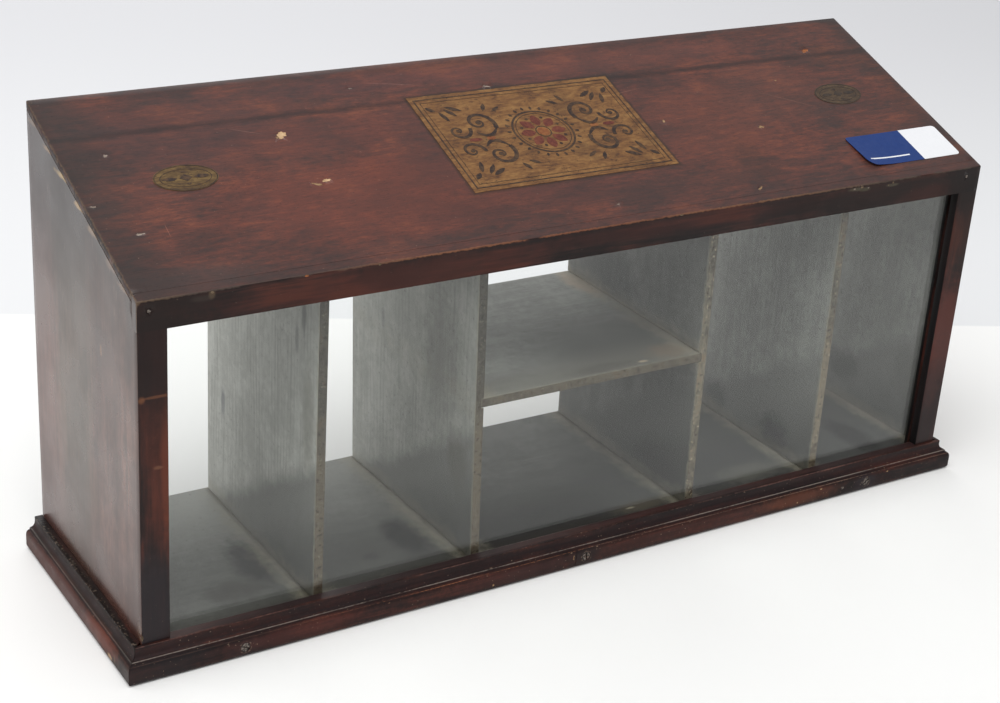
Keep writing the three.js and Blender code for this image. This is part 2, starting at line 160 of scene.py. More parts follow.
class Shader:
    """Short calls for one node material, whose colour is laid on in layers. On the sloping top,
    places are turned flat."""

    def __init__(self, name, tree=None, sloping=False):
        if tree is None:
            self.material = bpy.data.materials.new(name)
            self.material.use_nodes = True
            tree = self.material.node_tree
            tree.nodes.clear()
            self.output = tree.nodes.new("ShaderNodeOutputMaterial")
        self.tree = tree
        self.sloping = sloping
        self.colour = None
        self.shift = 0.0
        self.kept = {}

    def keep(self, key, make):
        if key not in self.kept:
            self.kept[key] = make()
        return self.kept[key]

    @property
    def place(self):
        return self.keep("place", self.make_place)

    def make_place(self):
        place = self.add("TexCoord", out="Object")
        if self.sloping:
            centre = (0, FRONT_Y, FRONT_HEIGHT)
            place = self.add("VectorRotate", {"Vector": place, "Center": centre, "Angle": -SLOPE},
                             rotation_type="X_AXIS")
        return place

    def put(self, socket, value):
        if isinstance(value, bpy.types.NodeSocket):
            self.tree.links.new(value, socket)
        else:
            socket.default_value = value

    def add(self, kind, inputs=(), out=0, **settings):
        node = self.tree.nodes.new("ShaderNode" + kind)
        for key, value in settings.items():
            setattr(node, key, value)
        for key, value in dict(inputs).items():
            self.put(node.inputs[key], value)
        return node.outputs[out]

    def math(self, operation, *values):
        return self.add("Math", enumerate(values), operation=operation)

    def times(self, a, b):
        return self.math("MULTIPLY", a, b)

    def plus(self, a, b):
        return self.math("ADD", a, b)

    def minus(self, a, b):
        return self.math("SUBTRACT", a, b)

    def size_of(self, value):
        return self.math("ABSOLUTE", value)

    def sum(self, *pairs):
        """The sum of values times weights, given as pairs."""
        total = None
        for value, weight in pairs:
            part = self.times(value, weight)
            total = part if total is None else self.plus(total, part)
        return total

    def vector(self, operation, a, b=None, out=0):
        return self.add("VectorMath", {0: a} if b is None else {0: a, 1: b}, out, operation=operation)

    def mix(self, fac, a, b):
        return self.add("Mix", {0: fac, 6: linear(a), 7: linear(b)}, out=2, data_type="RGBA")

    def lay(self, mask, tone):
        """Lays a tone on the colour where the mask is 1."""
        self.colour = self.mix(mask, self.colour, tone)

    def tint(self, mask, amount, tone):
        """The same, with at most this amount of the tone."""
        self.lay(self.times(mask, amount), tone)

    def remap(self, value, low, high, to_low=0.0, to_high=1.0):
        inputs = {0: value, 1: low, 2: high, 3: to_low, 4: to_high}
        return self.add("MapRange", inputs, interpolation_type="SMOOTHSTEP")

    def ramp(self, fac, *stops):
        node = self.tree.nodes.new("ShaderNodeValToRGB")
        self.put(node.inputs[0], fac)
        elements = node.color_ramp.elements
        while len(elements) < len(stops):
            elements.new(1.0)
        for element, (position, tone) in zip(elements, stops):
            element.position = position
            element.color = linear(tone)
        return node.outputs[0]

    def noise(self, size, detail=3.0, rough=0.55, distortion=0.0):
        """Noise whose features are size metres across, one number or one for each axis."""
        self.shift += 7.31
        sizes = size if isinstance(size, tuple) else (size, size, size)
        scaled = self.add("Mapping", {"Vector": self.place, "Scale": tuple(1 / v for v in sizes),
                                      "Location": (self.shift, self.shift * 1.7, self.shift * 0.6)})
        return self.add("TexNoise", {"Vector": scaled, "Scale": 1.0, "Detail": detail,
                                     "Roughness": rough, "Distortion": distortion})

    def wander(self, size, low, high, detail=3.0):
        """A value that drifts between two others."""
        return self.remap(self.noise(size, detail), 0.3, 0.7, low, high)

    def split(self):
        return self.keep("split", lambda: self.add("SeparateXYZ", {0: self.place}).node).outputs

    def attribute(self, name):
        return self.keep(name, lambda: self.add("Attribute", out="Fac", attribute_name=name))

    def near(self, name, low, high, *noises):
        """A mask from how near something is, made ragged by noises with their weights."""
        return self.remap(self.sum((self.attribute(name), 1.0), *noises), low, high)

    def specks(self, size, amount):
        """A mask of scattered dots; amount is the threshold, from 0.6 for many to 0.8 for few."""
        return self.remap(self.noise(size, 1.0), amount, amount + 0.03)

    def moved(self, centre):
        return self.vector("ADD", self.place, tuple(-c for c in centre))

    def spot(self, centre, radii, soft, turn=0.0):
        """A mask that is 1 inside a ragged ellipsoid and fades out over soft of its radius."""
        moved = self.moved(centre)
        if turn:
            moved = self.add("VectorRotate", {"Vector": moved, "Angle": turn}, rotation_type="Z_AXIS")
        far = self.vector("LENGTH", self.vector("MULTIPLY", moved, tuple(1 / r for r in radii)), out="Value")
        rag = self.keep("rag", lambda: self.sum((self.noise(0.004), 1.6), (self.noise(0.02), 1.2)))
        middle = 1.0 + soft * 1.2 * 1.4
        return self.remap(self.sum((far, 1.0), (rag, soft * 1.2)), middle + soft, middle - soft)

    def ring(self, centre, radius, wide):
        """A broken ring on the front, round a point."""
        flat = self.vector("MULTIPLY", self.moved(centre), (1, 0, 1))
        off = self.size_of(self.minus(self.vector("LENGTH", flat, out="Value"), radius))
        fray = self.keep("fray", lambda: self.noise(0.0014))
        return self.remap(self.sum((off, 1.0), (fray, wide * 2.4)), wide * 1.5, wide * 0.9)

    def spots(self, place, marks):
        """Lays soft marks on the colour. Each has a centre for place, radii in mm, tone, amount."""
        for where, radii, tone, amount in marks:
            self.tint(self.spot(place(*where), tuple(r * MM for r in radii), 0.5), amount, tone)

    def fades(self, bands):
        """Lays tones that come in between two places along x and two along y; here they are painted light
        and shade, with some dirt at the sill.
        """
        x, y, _ = self.split()
        for across, back, tone, amount in bands:
            self.tint(self.times(self.remap(x, *across), self.remap(y, *back)), amount, tone)

    def finish(self, roughness, height=None, strength=0.2, distance=0.1 * MM, **constants):
        inputs = {"Base Color": self.colour, "Roughness": roughness}
        for key, value in constants.items():
            inputs[key.replace("_", " ").title().replace("Ior", "IOR")] = value
        if height is not None:
            inputs["Normal"] = self.add("Bump", {"Height": height, "Strength": strength,
                                                 "Distance": distance})
        self.put(self.output.inputs["Surface"], self.add("BsdfPrincipled", inputs))
        return self.material


def add_world():
    world = bpy.data.worlds.new("studio")
    world.use_nodes = True
    bpy.context.scene.world = world
    world.node_tree.nodes.clear()
    s = Shader("studio", world.node_tree)
    seen = s.add("Background", {"Color": (0.88, 0.88, 0.91, 1), "Strength": 1.0})
    light = s.add("Background", {"Color": (0.98, 0.99, 1.0, 1), "Strength": 0.5})
    both = s.add("MixShader", {0: s.add("LightPath", out="Is Camera Ray"), 1: light, 2: seen})
    output = s.tree.nodes.new("ShaderNodeOutputWorld")
    s.tree.links.new(both, output.inputs["Surface"])


# The table ends and the backdrop begins along a line behind the case
BACKDROP_LEFT = Vector((-0.172, 0.361))
BACKDROP_RIGHT = Vector((0.443, 0.074))
FLOOR_REACH = 6.0


def floor_material():
    s = Shader("floor")
    along = (BACKDROP_RIGHT - BACKDROP_LEFT).normalized()
    across = Vector((-along.y, along.x))
    x, y, _ = s.split()
    past = s.minus(s.sum((x, across.x), (y, across.y)), across.dot(BACKDROP_LEFT))
    table = (0.955, 0.95, 0.935, 1)
    # The backdrop darkens into the distance: a painted falloff of light.
    backdrop = s.ramp(s.remap(past, 0.0, 0.9), (0, (0.83, 0.835, 0.845, 1)), (1, (0.73, 0.73, 0.75, 1)))
    s.colour = s.mix(s.remap(past, -0.0015, 0.0015), table, backdrop)
    return s.finish(0.75, specular_ior_level=0.2)


def add_floor():
    mesh = bpy.data.meshes.new("floor")
    r = FLOOR_REACH
    mesh.from_pydata([(-r, -r, 0), (r, -r, 0), (r, r, 0), (-r, r, 0)], [], [(0, 1, 2, 3)])
    mesh.materials.append(floor_material())
    floor = bpy.data.objects.new("floor", mesh)
    bpy.context.scene.collection.objects.link(floor)


# Wood finishes. Marks are rows of place, radii in mm, tone and amount

def grain(axis, along, across):
    """Sizes for noise streaks: this long along the grain and this wide across it."""
    return tuple(along if name == axis else across for name in "xyz")


def worn_arris_and_highlight(s, amount):
    """A mask of worn stretches along the arrises, where the tone laid on is partly a painted highlight;
    amount runs from 0, none, to 1, all.
    """
    near = s.near("edge", 0.98, 1.14, (s.noise(0.0016), 0.5))
    threshold = 0.66 - 0.3 * amount
    return s.times(near, s.remap(s.noise(0.03), threshold, threshold + 0.08))


def arris_wear_and_highlight_tone(s):
    """Bare wood showing at the arrises, with a painted highlight along them: dark at the left, tan in the
    middle and dull at the right.
    """
    along = s.remap(s.split()[0], -HALF_WIDTH, HALF_WIDTH)
    return s.ramp(along, (0.0, (98, 80, 64)), (0.008, (74, 62, 56)), (0.07, (76, 64, 58)),
                  (0.20, (128, 86, 62)), (0.45, (124, 78, 56)), (0.8, (118, 86, 64)),
                  (0.95, (78, 68, 60)))


PLATE_HALF = (60.8, 37.8)
TOP_ZONES = (mark, [
    ((150, 45), (85, 28, 30), (112, 58, 46), 0.42),
    ((135, 92), (60, 12, 30), (104, 56, 48), 0.25),
    ((345, 62), (38, 34, 30), (110, 64, 52), 0.28),
    ((182, 70), (18, 30, 30), (58, 44, 43), 0.35),
    ((205, 26), (60, 10, 30), (62, 45, 44), 0.32),
    ((330, 100), (22, 6, 30), (56, 43, 43), 0.35),
    ((352, 30), (10, 16, 30), (58, 45, 41), 0.4),
    ((60, 108), (60, 20, 30), (64, 47, 48), 0.35),
    ((170, 128), (50, 8, 30), (82, 52, 53), 0.3),
    ((300, 127), (110, 10, 30), (112, 68, 60), 0.35),
    ((400, 84), (34, 26, 30), (104, 66, 56), 0.25),
    ((24, 7), (34, 9, 30), (66, 57, 55), 0.6),
    ((300, 20), (60, 8, 30), (74, 52, 48), 0.35),
    ((455, 108), (22, 12, 30), (52, 44, 41), 0.4),
])

# Scratches on the top: from and to as in mark, half width in mm, tone
TOP_SCRATCHES = [
    ((86.6, 104.5), (100.4, 98.1), 0.22, (140, 100, 86)),
    ((30.4, 45.0), (30.0, 37.0), 0.20, (150, 96, 80)),
    ((170, 128), (196, 122), 0.20, (140, 100, 90)),
    ((300, 96), (322, 99), 0.20, (140, 98, 84)),
    ((392, 84), (420, 66), 0.20, (128, 90, 78)),
]


def top_wood():
    s = Shader("top_wood", sloping=True)
    x, y, _ = s.split()
    clouds = s.noise((0.046, 0.022, 0.05), 3.0, 0.6, 0.6)
    streaks = s.noise((0.017, 0.0028, 0.02), 4.0, 0.65, 0.4)
    mottle = s.noise((0.0045, 0.0020, 0.004), 3.0, 0.7)
    fibre = s.noise((0.007, 0.0008, 0.01), 2.0, 0.6)
    tone = s.remap(s.sum((clouds, 0.40), (streaks, 0.27), (mottle, 0.18), (fibre, 0.15)), 0.375, 0.625)
    s.colour = s.ramp(tone, (0.0, (62, 47, 45)), (0.3, (78, 51, 46)), (0.6, (91, 55, 48)),
                      (0.85, (104, 60, 49)), (1.0, (118, 69, 52)))
    s.spots(*TOP_ZONES)
    drift = s.times(s.noise((0.05, 0.02, 0.02)), 0.03)
    up = s.minus(y, FRONT_Y)
    from_joint = s.size_of(s.minus(up, TOP_JOINT))
    seam = s.remap(s.sum((from_joint, 1.0), (s.noise((0.02, 0.004, 0.004)), 0.005)), 0.0062, 0.0026)
    s.tint(seam, 0.6, (38, 31, 31))
    # Painted shadow: a dark soft band round the plate.
    past = [s.minus(s.size_of(s.minus(value, middle * MM)), half * MM)
            for value, middle, half in zip((x, up), transfer_place("top_transfer"), PLATE_HALF)]
    margin = s.sum((s.math("MAXIMUM", *past), 1.0), (s.noise(0.003, 2.0), 0.002))
    s.tint(s.remap(margin, 0.0034, 0.0016), 0.6, (44, 36, 28))
    from_back = s.minus(BACK_Y - FRONT_Y + 0.009, up)
    for distance, wide, narrow, amount, shade in (
            (s.plus(x, HALF_WIDTH), 0.034, 0.004, 0.62, (46, 44, 43)),
            (s.minus(HALF_WIDTH, x), 0.024, 0.002, 0.5, (48, 43, 41)),
            (up, 0.014, 0.001, 0.35, (64, 50, 48)),
            (from_back, 0.012, 0.001, 0.4, (46, 40, 40))):
        s.tint(s.remap(s.plus(distance, s.minus(drift, 0.015)), wide, narrow), amount, shade)
    for start, end, wide, shade in TOP_SCRATCHES:
        a, b = Vector(mark(*start)), Vector(mark(*end))
        turn = -math.atan2(b.y - a.y, b.x - a.x)
        s.tint(s.spot((a + b) / 2, ((b - a).length / 2, wide * MM, 0.003), 0.25, turn), 0.45, shade)
    # Worn bare wood and a painted highlight along the front arris and the left end.
    left_end = s.remap(x, -HALF_WIDTH + 4 * MM, -HALF_WIDTH + 2 * MM, 0.0, 0.5)
    exposed = s.math("MAXIMUM", s.remap(up, 0.020, 0.010, 0.25, 0.75), left_end)
    s.tint(worn_arris_and_highlight(s, 0.85), exposed, arris_wear_and_highlight_tone(s))
    s.tint(s.remap(s.noise((0.0026, 0.0005, 0.002), 1.0), 0.60, 0.68), 0.3, (38, 28, 27))
    s.tint(s.specks(0.0011, 0.70), 0.35, (30, 22, 22))
    s.tint(s.specks(0.0011, 0.77), 0.4, (150, 124, 106))
    rough = s.wander(0.03, 0.34, 0.46)
    height = s.sum((fibre, 0.6), (s.noise(0.003, 2.0), 0.5))
    return s.finish(rough, height, 0.25, specular_ior_level=0.3)


RAIL_ZONES = (front_at, [
    ((-232, 178), (26, 9, 14), (32, 21, 19), 0.85),
    ((-120, 176), (70, 9, 8), (74, 36, 28), 0.55),
    ((40, 181), (90, 9, 4), (60, 30, 26), 0.5),
    ((175, 180), (70, 9, 8), (30, 18, 16), 0.85),
    ((212, 175.5), (22, 9, 4), (58, 27, 21), 0.6),
    ((236, 178), (16, 9, 14), (20, 12, 11), 0.88),
    ((-210.7, 184.2), (1.5, 3, 1.9), (104, 88, 68), 0.5),
    ((-215, 183.0), (5, 3, 1.4), (64, 54, 48), 0.4),
    ((154, 184.0), (4, 3, 0.8), (98, 92, 74), 0.4),
    ((161, 183.2), (3, 3, 0.9), (90, 86, 68), 0.4),
    ((180, 183.2), (4, 3, 0.8), (98, 92, 74), 0.4),
])
STILE_ZONES = (front_at, [
    ((-234, 112), (7, 9, 44), (88, 43, 31), 0.55),
    ((-238, 170), (24, 9, 40), (32, 20, 19), 0.9),
    ((-232, 100), (2.5, 9, 30), (112, 56, 36), 0.5),
    ((-237, 140.5), (6, 4, 0.7), (118, 74, 50), 0.5),
    ((-236, 106), (2.0, 4, 0.9), (124, 84, 62), 0.5),
    ((-240, 34), (14, 9, 28), (42, 37, 40), 0.75),
    ((-243.4, 140), (1.6, 3, 1.6), (120, 76, 50), 0.6),
    ((236, 160), (14, 9, 30), (54, 26, 18), 0.6),
    ((236, 84), (14, 9, 34), (96, 50, 42), 0.65),
    ((236, 174), (14, 9, 14), (20, 14, 13), 0.8),
    ((237, 40), (12, 9, 34), (44, 32, 32), 0.6),
])
SILL_ZONES = (front_at, [((0, 15), (500, 30, 30), (44, 31, 31), 0.7)])
# Painted shade: the reveals beside the glass are laid near black all over.
REVEAL_PAINTED_SHADE = (front_at, [((x, 95), (60, 60, 260), (15, 14, 15), 0.95) for x in (231, -231)])


def dark_wood(name, axis, zones, arris, arris_from=0.0):
    """The near-black red stain of the front frame."""
    s = Shader(name)
    clouds = s.noise(grain(axis, 0.055, 0.016), 3.0, 0.6, 0.4)
    streaks = s.noise(grain(axis, 0.035, 0.0022), 3.0, 0.6, 0.2)
    tone = s.remap(s.sum((clouds, 0.6), (streaks, 0.4)), 0.38, 0.62)
    s.colour = s.ramp(tone, (0.0, (27, 20, 20)), (0.35, (40, 26, 24)), (0.7, (56, 32, 28)),
                      (1.0, (76, 40, 31)))
    s.spots(*zones)
    # Worn bare wood and a painted highlight along the arrises that lie above arris_from.
    high = s.remap(s.split()[2], arris_from - 0.003, arris_from, 0.0, 0.8)
    s.tint(worn_arris_and_highlight(s, arris), high, arris_wear_and_highlight_tone(s))
    s.tint(s.specks(0.0012, 0.78), 0.35, (120, 102, 86))
    rough = s.wander(0.02, 0.36, 0.52)
    height = s.sum((streaks, 0.6), (s.noise(0.0025, 2.0), 0.5))
    return s.finish(rough, height, 0.3, specular_ior_level=0.19)


SIDE_SMUDGES = (left_side, [
    ((-22, 198), (9, 4, 10), (52, 45, 42), 0.6),
    ((-52, 150), (9, 4, 9), (58, 48, 45), 0.5),
    ((-47, 112), (9, 2.5, 6), (50, 42, 40), 0.5),
    ((-10, 92), (9, 3, 5), (56, 48, 44), 0.45),
    ((30, 60), (9, 3, 7), (58, 46, 42), 0.4),
    ((1, 127), (9, 5, 14), (66, 60, 54), 0.35),
    ((-30, 170), (9, 5, 12), (80, 66, 62), 0.3),
    ((45, 214), (9, 10, 8), (58, 52, 48), 0.5),
])
SIDE_TAN = (left_side, [
    ((58, 227), (2, 9, 1.2), (120, 92, 66), 0.6),
    ((40, 220.4), (2, 6, 1.3), (140, 110, 76), 0.7),
    ((22, 213.6), (2, 10, 1.4), (172, 142, 94), 0.85),
    ((2, 206), (2, 6, 1.4), (164, 132, 88), 0.85),
    ((-14, 200), (2, 7, 1.8), (132, 106, 80), 0.8),
    ((-50, 186.8), (2, 7, 1.4), (124, 96, 74), 0.6),
    ((-36, 192), (2, 6, 2.2), (116, 92, 76), 0.75),
    ((-61, 22), (3, 3, 4), (112, 84, 66), 0.4),
    ((-20, 146), (2, 1.2, 3), (132, 100, 74), 0.5),
])


def side_wood():
    """The same stain on the ends, in upright bands, laid paler and duller as painted light and sheen."""
    s = Shader("side_wood")
    _, y, z = s.split()
    bands = s.noise(grain("z", 0.30, 0.020), 2.0, 0.5)
    streaks = s.noise(grain("z", 0.09, 0.0025), 3.0, 0.6)
    clouds = s.noise((0.03, 0.022, 0.05), 3.0, 0.6)
    mottle = s.noise(grain("z", 0.006, 0.0028), 4.0, 0.7)
    tone = s.remap(s.sum((bands, 0.30), (streaks, 0.22), (clouds, 0.28), (mottle, 0.2)), 0.39, 0.61)
    s.colour = s.ramp(tone, (0.0, (70, 49, 43)), (0.5, (94, 67, 59)), (1.0, (120, 88, 77)))
    drift = s.plus(y, s.times(s.noise(0.05), 0.03))
    s.tint(s.times(s.remap(drift, 0.000, 0.016), s.remap(drift, 0.062, 0.046)), 0.6, (74, 68, 56))
    s.tint(s.remap(drift, 0.050, 0.070), 0.5, (104, 72, 66))
    s.tint(s.remap(drift, -0.034, -0.050), 0.85, (52, 24, 17))
    s.tint(s.remap(s.plus(z, s.times(clouds, 0.04)), 0.115, 0.035), 0.7, (63, 33, 26))
    s.tint(s.remap(z, 0.110, 0.205), 0.85, (40, 28, 24))
    s.spots(*SIDE_SMUDGES)
    s.tint(s.remap(s.noise(grain("z", 0.022, 0.006), 3.0, 0.65), 0.58, 0.72), 0.4, (60, 50, 45))
    s.tint(s.remap(s.noise(grain("z", 0.012, 0.0012), 2.0, 0.6), 0.66, 0.74), 0.35, (140, 116, 104))
    s.tint(worn_arris_and_highlight(s, 0.4), 0.5, (120, 96, 74))
    s.spots(*SIDE_TAN)
    s.tint(s.specks(0.0013, 0.71), 0.5, (44, 36, 32))
    rough = s.wander(0.04, 0.22, 0.36)
    height = s.sum((streaks, 0.6), (s.noise(0.005, 2.0), 0.3))
    return s.finish(rough, height, 0.12, coat_weight=0.12, coat_roughness=0.26)


# Soft bands of painted light and shade: from and to along x, from and to along y, tone, amount. The floor's
# band along the sill is painted shade and dirt.
FLOOR_PAINTED_LIGHT_AND_DIRT = [
    ((0.06, -0.18), (-0.015, 0.068), (170, 170, 165), 0.75),
    ((-0.30, -0.10), (0.025, -0.030), (58, 57, 55), 0.85),
    ((-0.08, -0.055), (0.005, -0.040), (30, 29, 28), 0.85),
    ((0.00, 0.06), (0.060, -0.010), (84, 84, 83), 0.6),
    ((-0.25, -0.24), (-0.042, -0.055), (54, 48, 42), 0.5),
]
SHELF_PAINTED_LIGHT = [
    ((-0.02, -0.06), (-0.01, 0.05), (188, 188, 183), 0.4),
    ((-0.05, 0.02), (0.042, -0.030), (84, 84, 81), 0.92),
    ((-0.09, -0.06), (-0.020, -0.050), (104, 101, 93), 0.8),
]
FLOOR_SMUDGES = (on_floor, [
    ((190, 10), (75, 90, 9), (78, 78, 77), 0.75),
    ((-166, -10), (10, 19, 6), (22, 22, 23), 0.8),
    ((-186, -32), (14, 9, 6), (50, 44, 40), 0.55),
    ((-85, -22), (9, 18, 6), (20, 20, 21), 0.85),
    ((-110, -31), (4, 3, 6), (34, 34, 35), 0.5),
    ((211, -29), (9, 20, 6), (34, 34, 36), 0.75),
    ((125, -40), (20, 9, 6), (104, 102, 94), 0.5),
    ((39.5, -46), (2.6, 0.8, 3), (200, 192, 170), 0.8),
    ((46, -46), (16, 5, 6), (90, 82, 68), 0.55),
])
SHELF_SMUDGES = (on_shelf, [
    ((12, -49), (22, 4, 6), (60, 54, 48), 0.4),
    ((34, -51), (3, 1.2, 6), (206, 184, 154), 0.5),
    ((63, 52), (7, 22, 6), (206, 184, 160), 0.6),
    ((55, -45), (12, 8, 6), (132, 112, 92), 0.5),
])
DIVIDER_SMUDGES = (anywhere, [
    ((-155, -40, 156), (5, 2.2, 9), (70, 70, 70), 0.6),
    ((-155, -33, 142), (5, 1.8, 7), (90, 90, 90), 0.5),
    ((-155, 50, 72), (5, 2.2, 7), (110, 110, 118), 0.6),
    ((-155, -46, 105), (5, 5, 26), (126, 120, 108), 0.45),
    ((-69, 36, 111), (5, 1.6, 6), (104, 104, 104), 0.4),
    ((-69, -22, 110), (5, 17, 44), (108, 106, 100), 0.45),
    ((-69, -40, 62), (5, 9, 16), (92, 86, 76), 0.35),
    ((67, 30, 117), (6, 22, 14), (70, 70, 69), 0.5),
    ((156, -24, 18), (6, 14, 15), (50, 50, 52), 0.8),
    ((69, -28, 22), (6, 16, 14), (64, 64, 62), 0.5),
    ((156, 33, 20), (6, 12, 12), (84, 84, 84), 0.6),
])
SIDE_INNER_SMUDGES = (inner_side, [
    ((18, 34), (6, 16, 9), (74, 74, 72), 0.5),
    ((-36, 50), (6, 10, 16), (84, 82, 76), 0.4),
])
RIB_PITCH = 3.4 * MM


def bare_wood(name, axis, light, smudges, low_light=None, sawn=1.0, bands=()):
    """Unvarnished boards inside, greyed with dust. Light is painted light: it brightens the tone. With a low
    light, an upright board shows its saw marks, and has painted shade below a line that falls towards its
    back."""
    s = Shader(name)
    fibre = s.noise(grain(axis, 0.05, 0.0013), 2.0, 0.5)
    streaks = s.noise(grain(axis, 0.07, 0.007), 3.0, 0.6, 0.3)
    clouds = s.noise(0.035, 4.0, 0.65)
    mottle = s.noise(0.0045, 4.0, 0.7)
    tone = s.remap(s.sum((fibre, 0.15), (streaks, 0.2), (clouds, 0.35), (mottle, 0.3)), 0.39, 0.61)

    def lit(value, share=1.0):
        return (value * light * share, value * light * share, (value - 2.5) * light * share)

    # The tone is lifted by light, a painted brightness.
    s.colour = s.ramp(tone, (0.0, lit(74)), (0.5, lit(80)), (1.0, lit(87)))
    _, y, z = s.split()
    dust_from, dust_amount, rubbed_amount = 1.15, 0.5, 0.25
    if low_light:
        sway = s.noise(grain("z", 0.10, 0.03), 1.0)
        ribs = s.remap(s.math("SINE", s.sum((y, 2 * math.pi / RIB_PITCH), (sway, 14.0))), 0.1, 0.9)
        present = s.remap(s.noise(grain("z", 0.05, 0.012), 2.0), 0.42, 0.62)
        s.tint(s.times(ribs, present), 0.32 * sawn, lit(58))
        s.tint(s.remap(s.noise(grain("z", 0.013, 0.0018), 3.0, 0.6), 0.66, 0.74), 0.4 * sawn, lit(50))
        # Painted shade below a line that falls towards the back of an upright board.
        line = s.sum((z, 1.0), (y, 0.63), (s.noise(0.02), 0.014))
        s.tint(s.remap(line, 0.064, 0.050), 0.9, lit(80, low_light))
        s.tint(s.remap(line, 0.046, 0.004), 0.62, lit(30, low_light))
        dust_from, dust_amount = 1.35, 0.3
    else:
        # Painted light and shade in soft bands across the floor and the shelf.
        s.fades(bands)
    s.spots(*smudges)
    dust = s.near("dust", dust_from, 2.05, (s.noise(0.005, 4.0, 0.7), 1.1), (s.noise(0.03), 0.9))
    s.tint(dust, dust_amount, (160, 152, 134))
    rubbed = s.near("edge", 1.05, 1.60, (s.noise(0.005, 4.0, 0.7), 1.2))
    if low_light:
        rubbed_amount = s.remap(z, FLOOR_TOP + 1 * MM, FLOOR_TOP + 8 * MM, 0.0, 0.5)
    s.tint(rubbed, rubbed_amount, (158, 150, 130))
    s.tint(s.specks(0.0015, 0.70), 0.45, (36, 34, 32))
    return s.finish(0.8, s.sum((fibre, 0.5), (mottle, 0.5)), 0.08, specular_ior_level=0.25)


def board_edges(name, light, foot):
    """Front and back edges of the inner boards, rubbed brown and specked. Light is a painted brightness that
    lifts their tone. Foot is how much paler they turn in their lower half."""
    s = Shader(name)

    def lit(*tone):
        return tuple(c * light for c in tone)

    rub = s.sum((s.noise((0.0022, 0.02, 0.004), 4.0, 0.7), 0.5), (s.noise(0.016), 0.5))
    s.colour = s.ramp(rub, (0.38, lit(62, 56, 47)), (0.46, lit(82, 77, 66)), (0.54, lit(102, 96, 83)),
                      (0.64, lit(104, 86, 66)))
    high = s.split()[2]
    s.lay(s.remap(high, 0.120, 0.080, 0.0, foot), lit(146, 131, 108))
    low = s.remap(high, 0.060, 0.015)
    s.tint(s.times(low, s.remap(s.noise(0.006), 0.40, 0.62)), 0.6, (62, 42, 31))
    s.tint(s.specks(0.0018, 0.66), 0.6, lit(168, 156, 132))
    s.tint(s.specks(0.0022, 0.61), 0.7, (52, 39, 31))
    return s.finish(0.7, rub, 0.4, specular_ior_level=0.3)


FRONT_MOULD_ZONES = (base_at, [
    ((-240, 8), (26, 8, 12), (30, 25, 27), 0.7),
    ((-196, 5), (9, 5, 5), (34, 28, 30), 0.4),
    ((-172, 6), (34, 4, 4), (80, 40, 34), 0.5),
    ((-50, 6), (30, 4, 4), (74, 38, 33), 0.45),
    ((60, 6), (60, 4, 4), (72, 36, 28), 0.4),
    ((138, 6), (26, 4, 4), (110, 60, 38), 0.5),
    ((190, 5), (8, 5, 5), (40, 33, 38), 0.6),
    ((-3.5, 5), (7, 5, 5), (34, 27, 27), 0.7),
])
SIDE_MOULD_ZONES = (anywhere, [
    ((-252, 0, 12), (9, 60, 12), (46, 38, 34), 0.6),
    ((-254, 20, 6), (3, 60, 6), (92, 54, 48), 0.6),
    ((-254, -35, 8), (3, 18, 5), (116, 62, 48), 0.55),
    ((-254, -46, 3.2), (3, 2.6, 1.2), (176, 146, 116), 0.8),
    ((-254, -52, 5.0), (3, 1.0, 2.0), (120, 92, 72), 0.5),
])


def moulding_wood(name, axis, zones, nose_amount, lip_highlight_amount, crust_amount):
    s = Shader(name)
    clouds = s.noise(grain(axis, 0.06, 0.012), 3.0, 0.6, 0.3)
    streaks = s.noise(grain(axis, 0.04, 0.0018), 3.0, 0.6)
    mottle = s.noise(0.0022, 4.0, 0.7)
    tone = s.remap(s.sum((clouds, 0.42), (streaks, 0.33), (mottle, 0.25)), 0.38, 0.62)
    s.colour = s.ramp(tone, (0.0, (20, 14, 14)), (0.4, (34, 19, 18)), (0.75, (52, 27, 22)),
                      (1.0, (72, 36, 28)))
    s.spots(*zones)
    # Painted shade in the cove and the quirk.
    s.tint(s.attribute("hollow"), 0.6, (34, 21, 22))
    along = s.noise(0.05, 2.0)
    crumbs = s.noise(0.0016)
    # Painted highlights along the lip and along the brim of the fillet.
    lip = s.near("lip", 1.34, 1.60, (along, 0.6), (crumbs, 0.5))
    s.tint(lip, 0.6 * lip_highlight_amount, (142, 132, 124))
    brim = s.near("brim", 1.50, 1.76, (along, 0.7), (crumbs, 0.5))
    s.tint(brim, 0.45 * lip_highlight_amount, (134, 96, 86))
    nose = s.near("nose", 1.62, 1.90, (along, 0.8), (crumbs, 1.1))
    nose = s.times(nose, s.remap(s.split()[0], -0.19, -0.10, 0.2, 1.0))
    right = s.remap(s.split()[0], -0.012, 0.004)
    s.tint(nose, 0.65 * nose_amount, s.mix(right, (150, 98, 64), (124, 98, 84)))
    crust = s.near("brim", 1.05, 1.40, (crumbs, 1.4))
    s.tint(crust, 0.8 * crust_amount, (16, 13, 12))
    s.tint(s.times(crust, s.specks(0.0011, 0.62)), 0.7 * crust_amount, (112, 98, 86))
    for node in SCREWS:
        low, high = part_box(node)
        s.tint(s.ring((low + high) / 2, 3.0 * MM, 0.9 * MM), 0.7 * nose_amount, (122, 104, 90))
    s.tint(s.specks(0.0012, 0.74), 0.5, (168, 142, 118))
    rough = s.wander(0.015, 0.40, 0.56)
    height = s.sum((streaks, 0.4), (mottle, 0.5), (s.times(crust, crumbs), 4 * crust_amount))
    return s.finish(rough, height, 0.5, specular_ior_level=0.2)


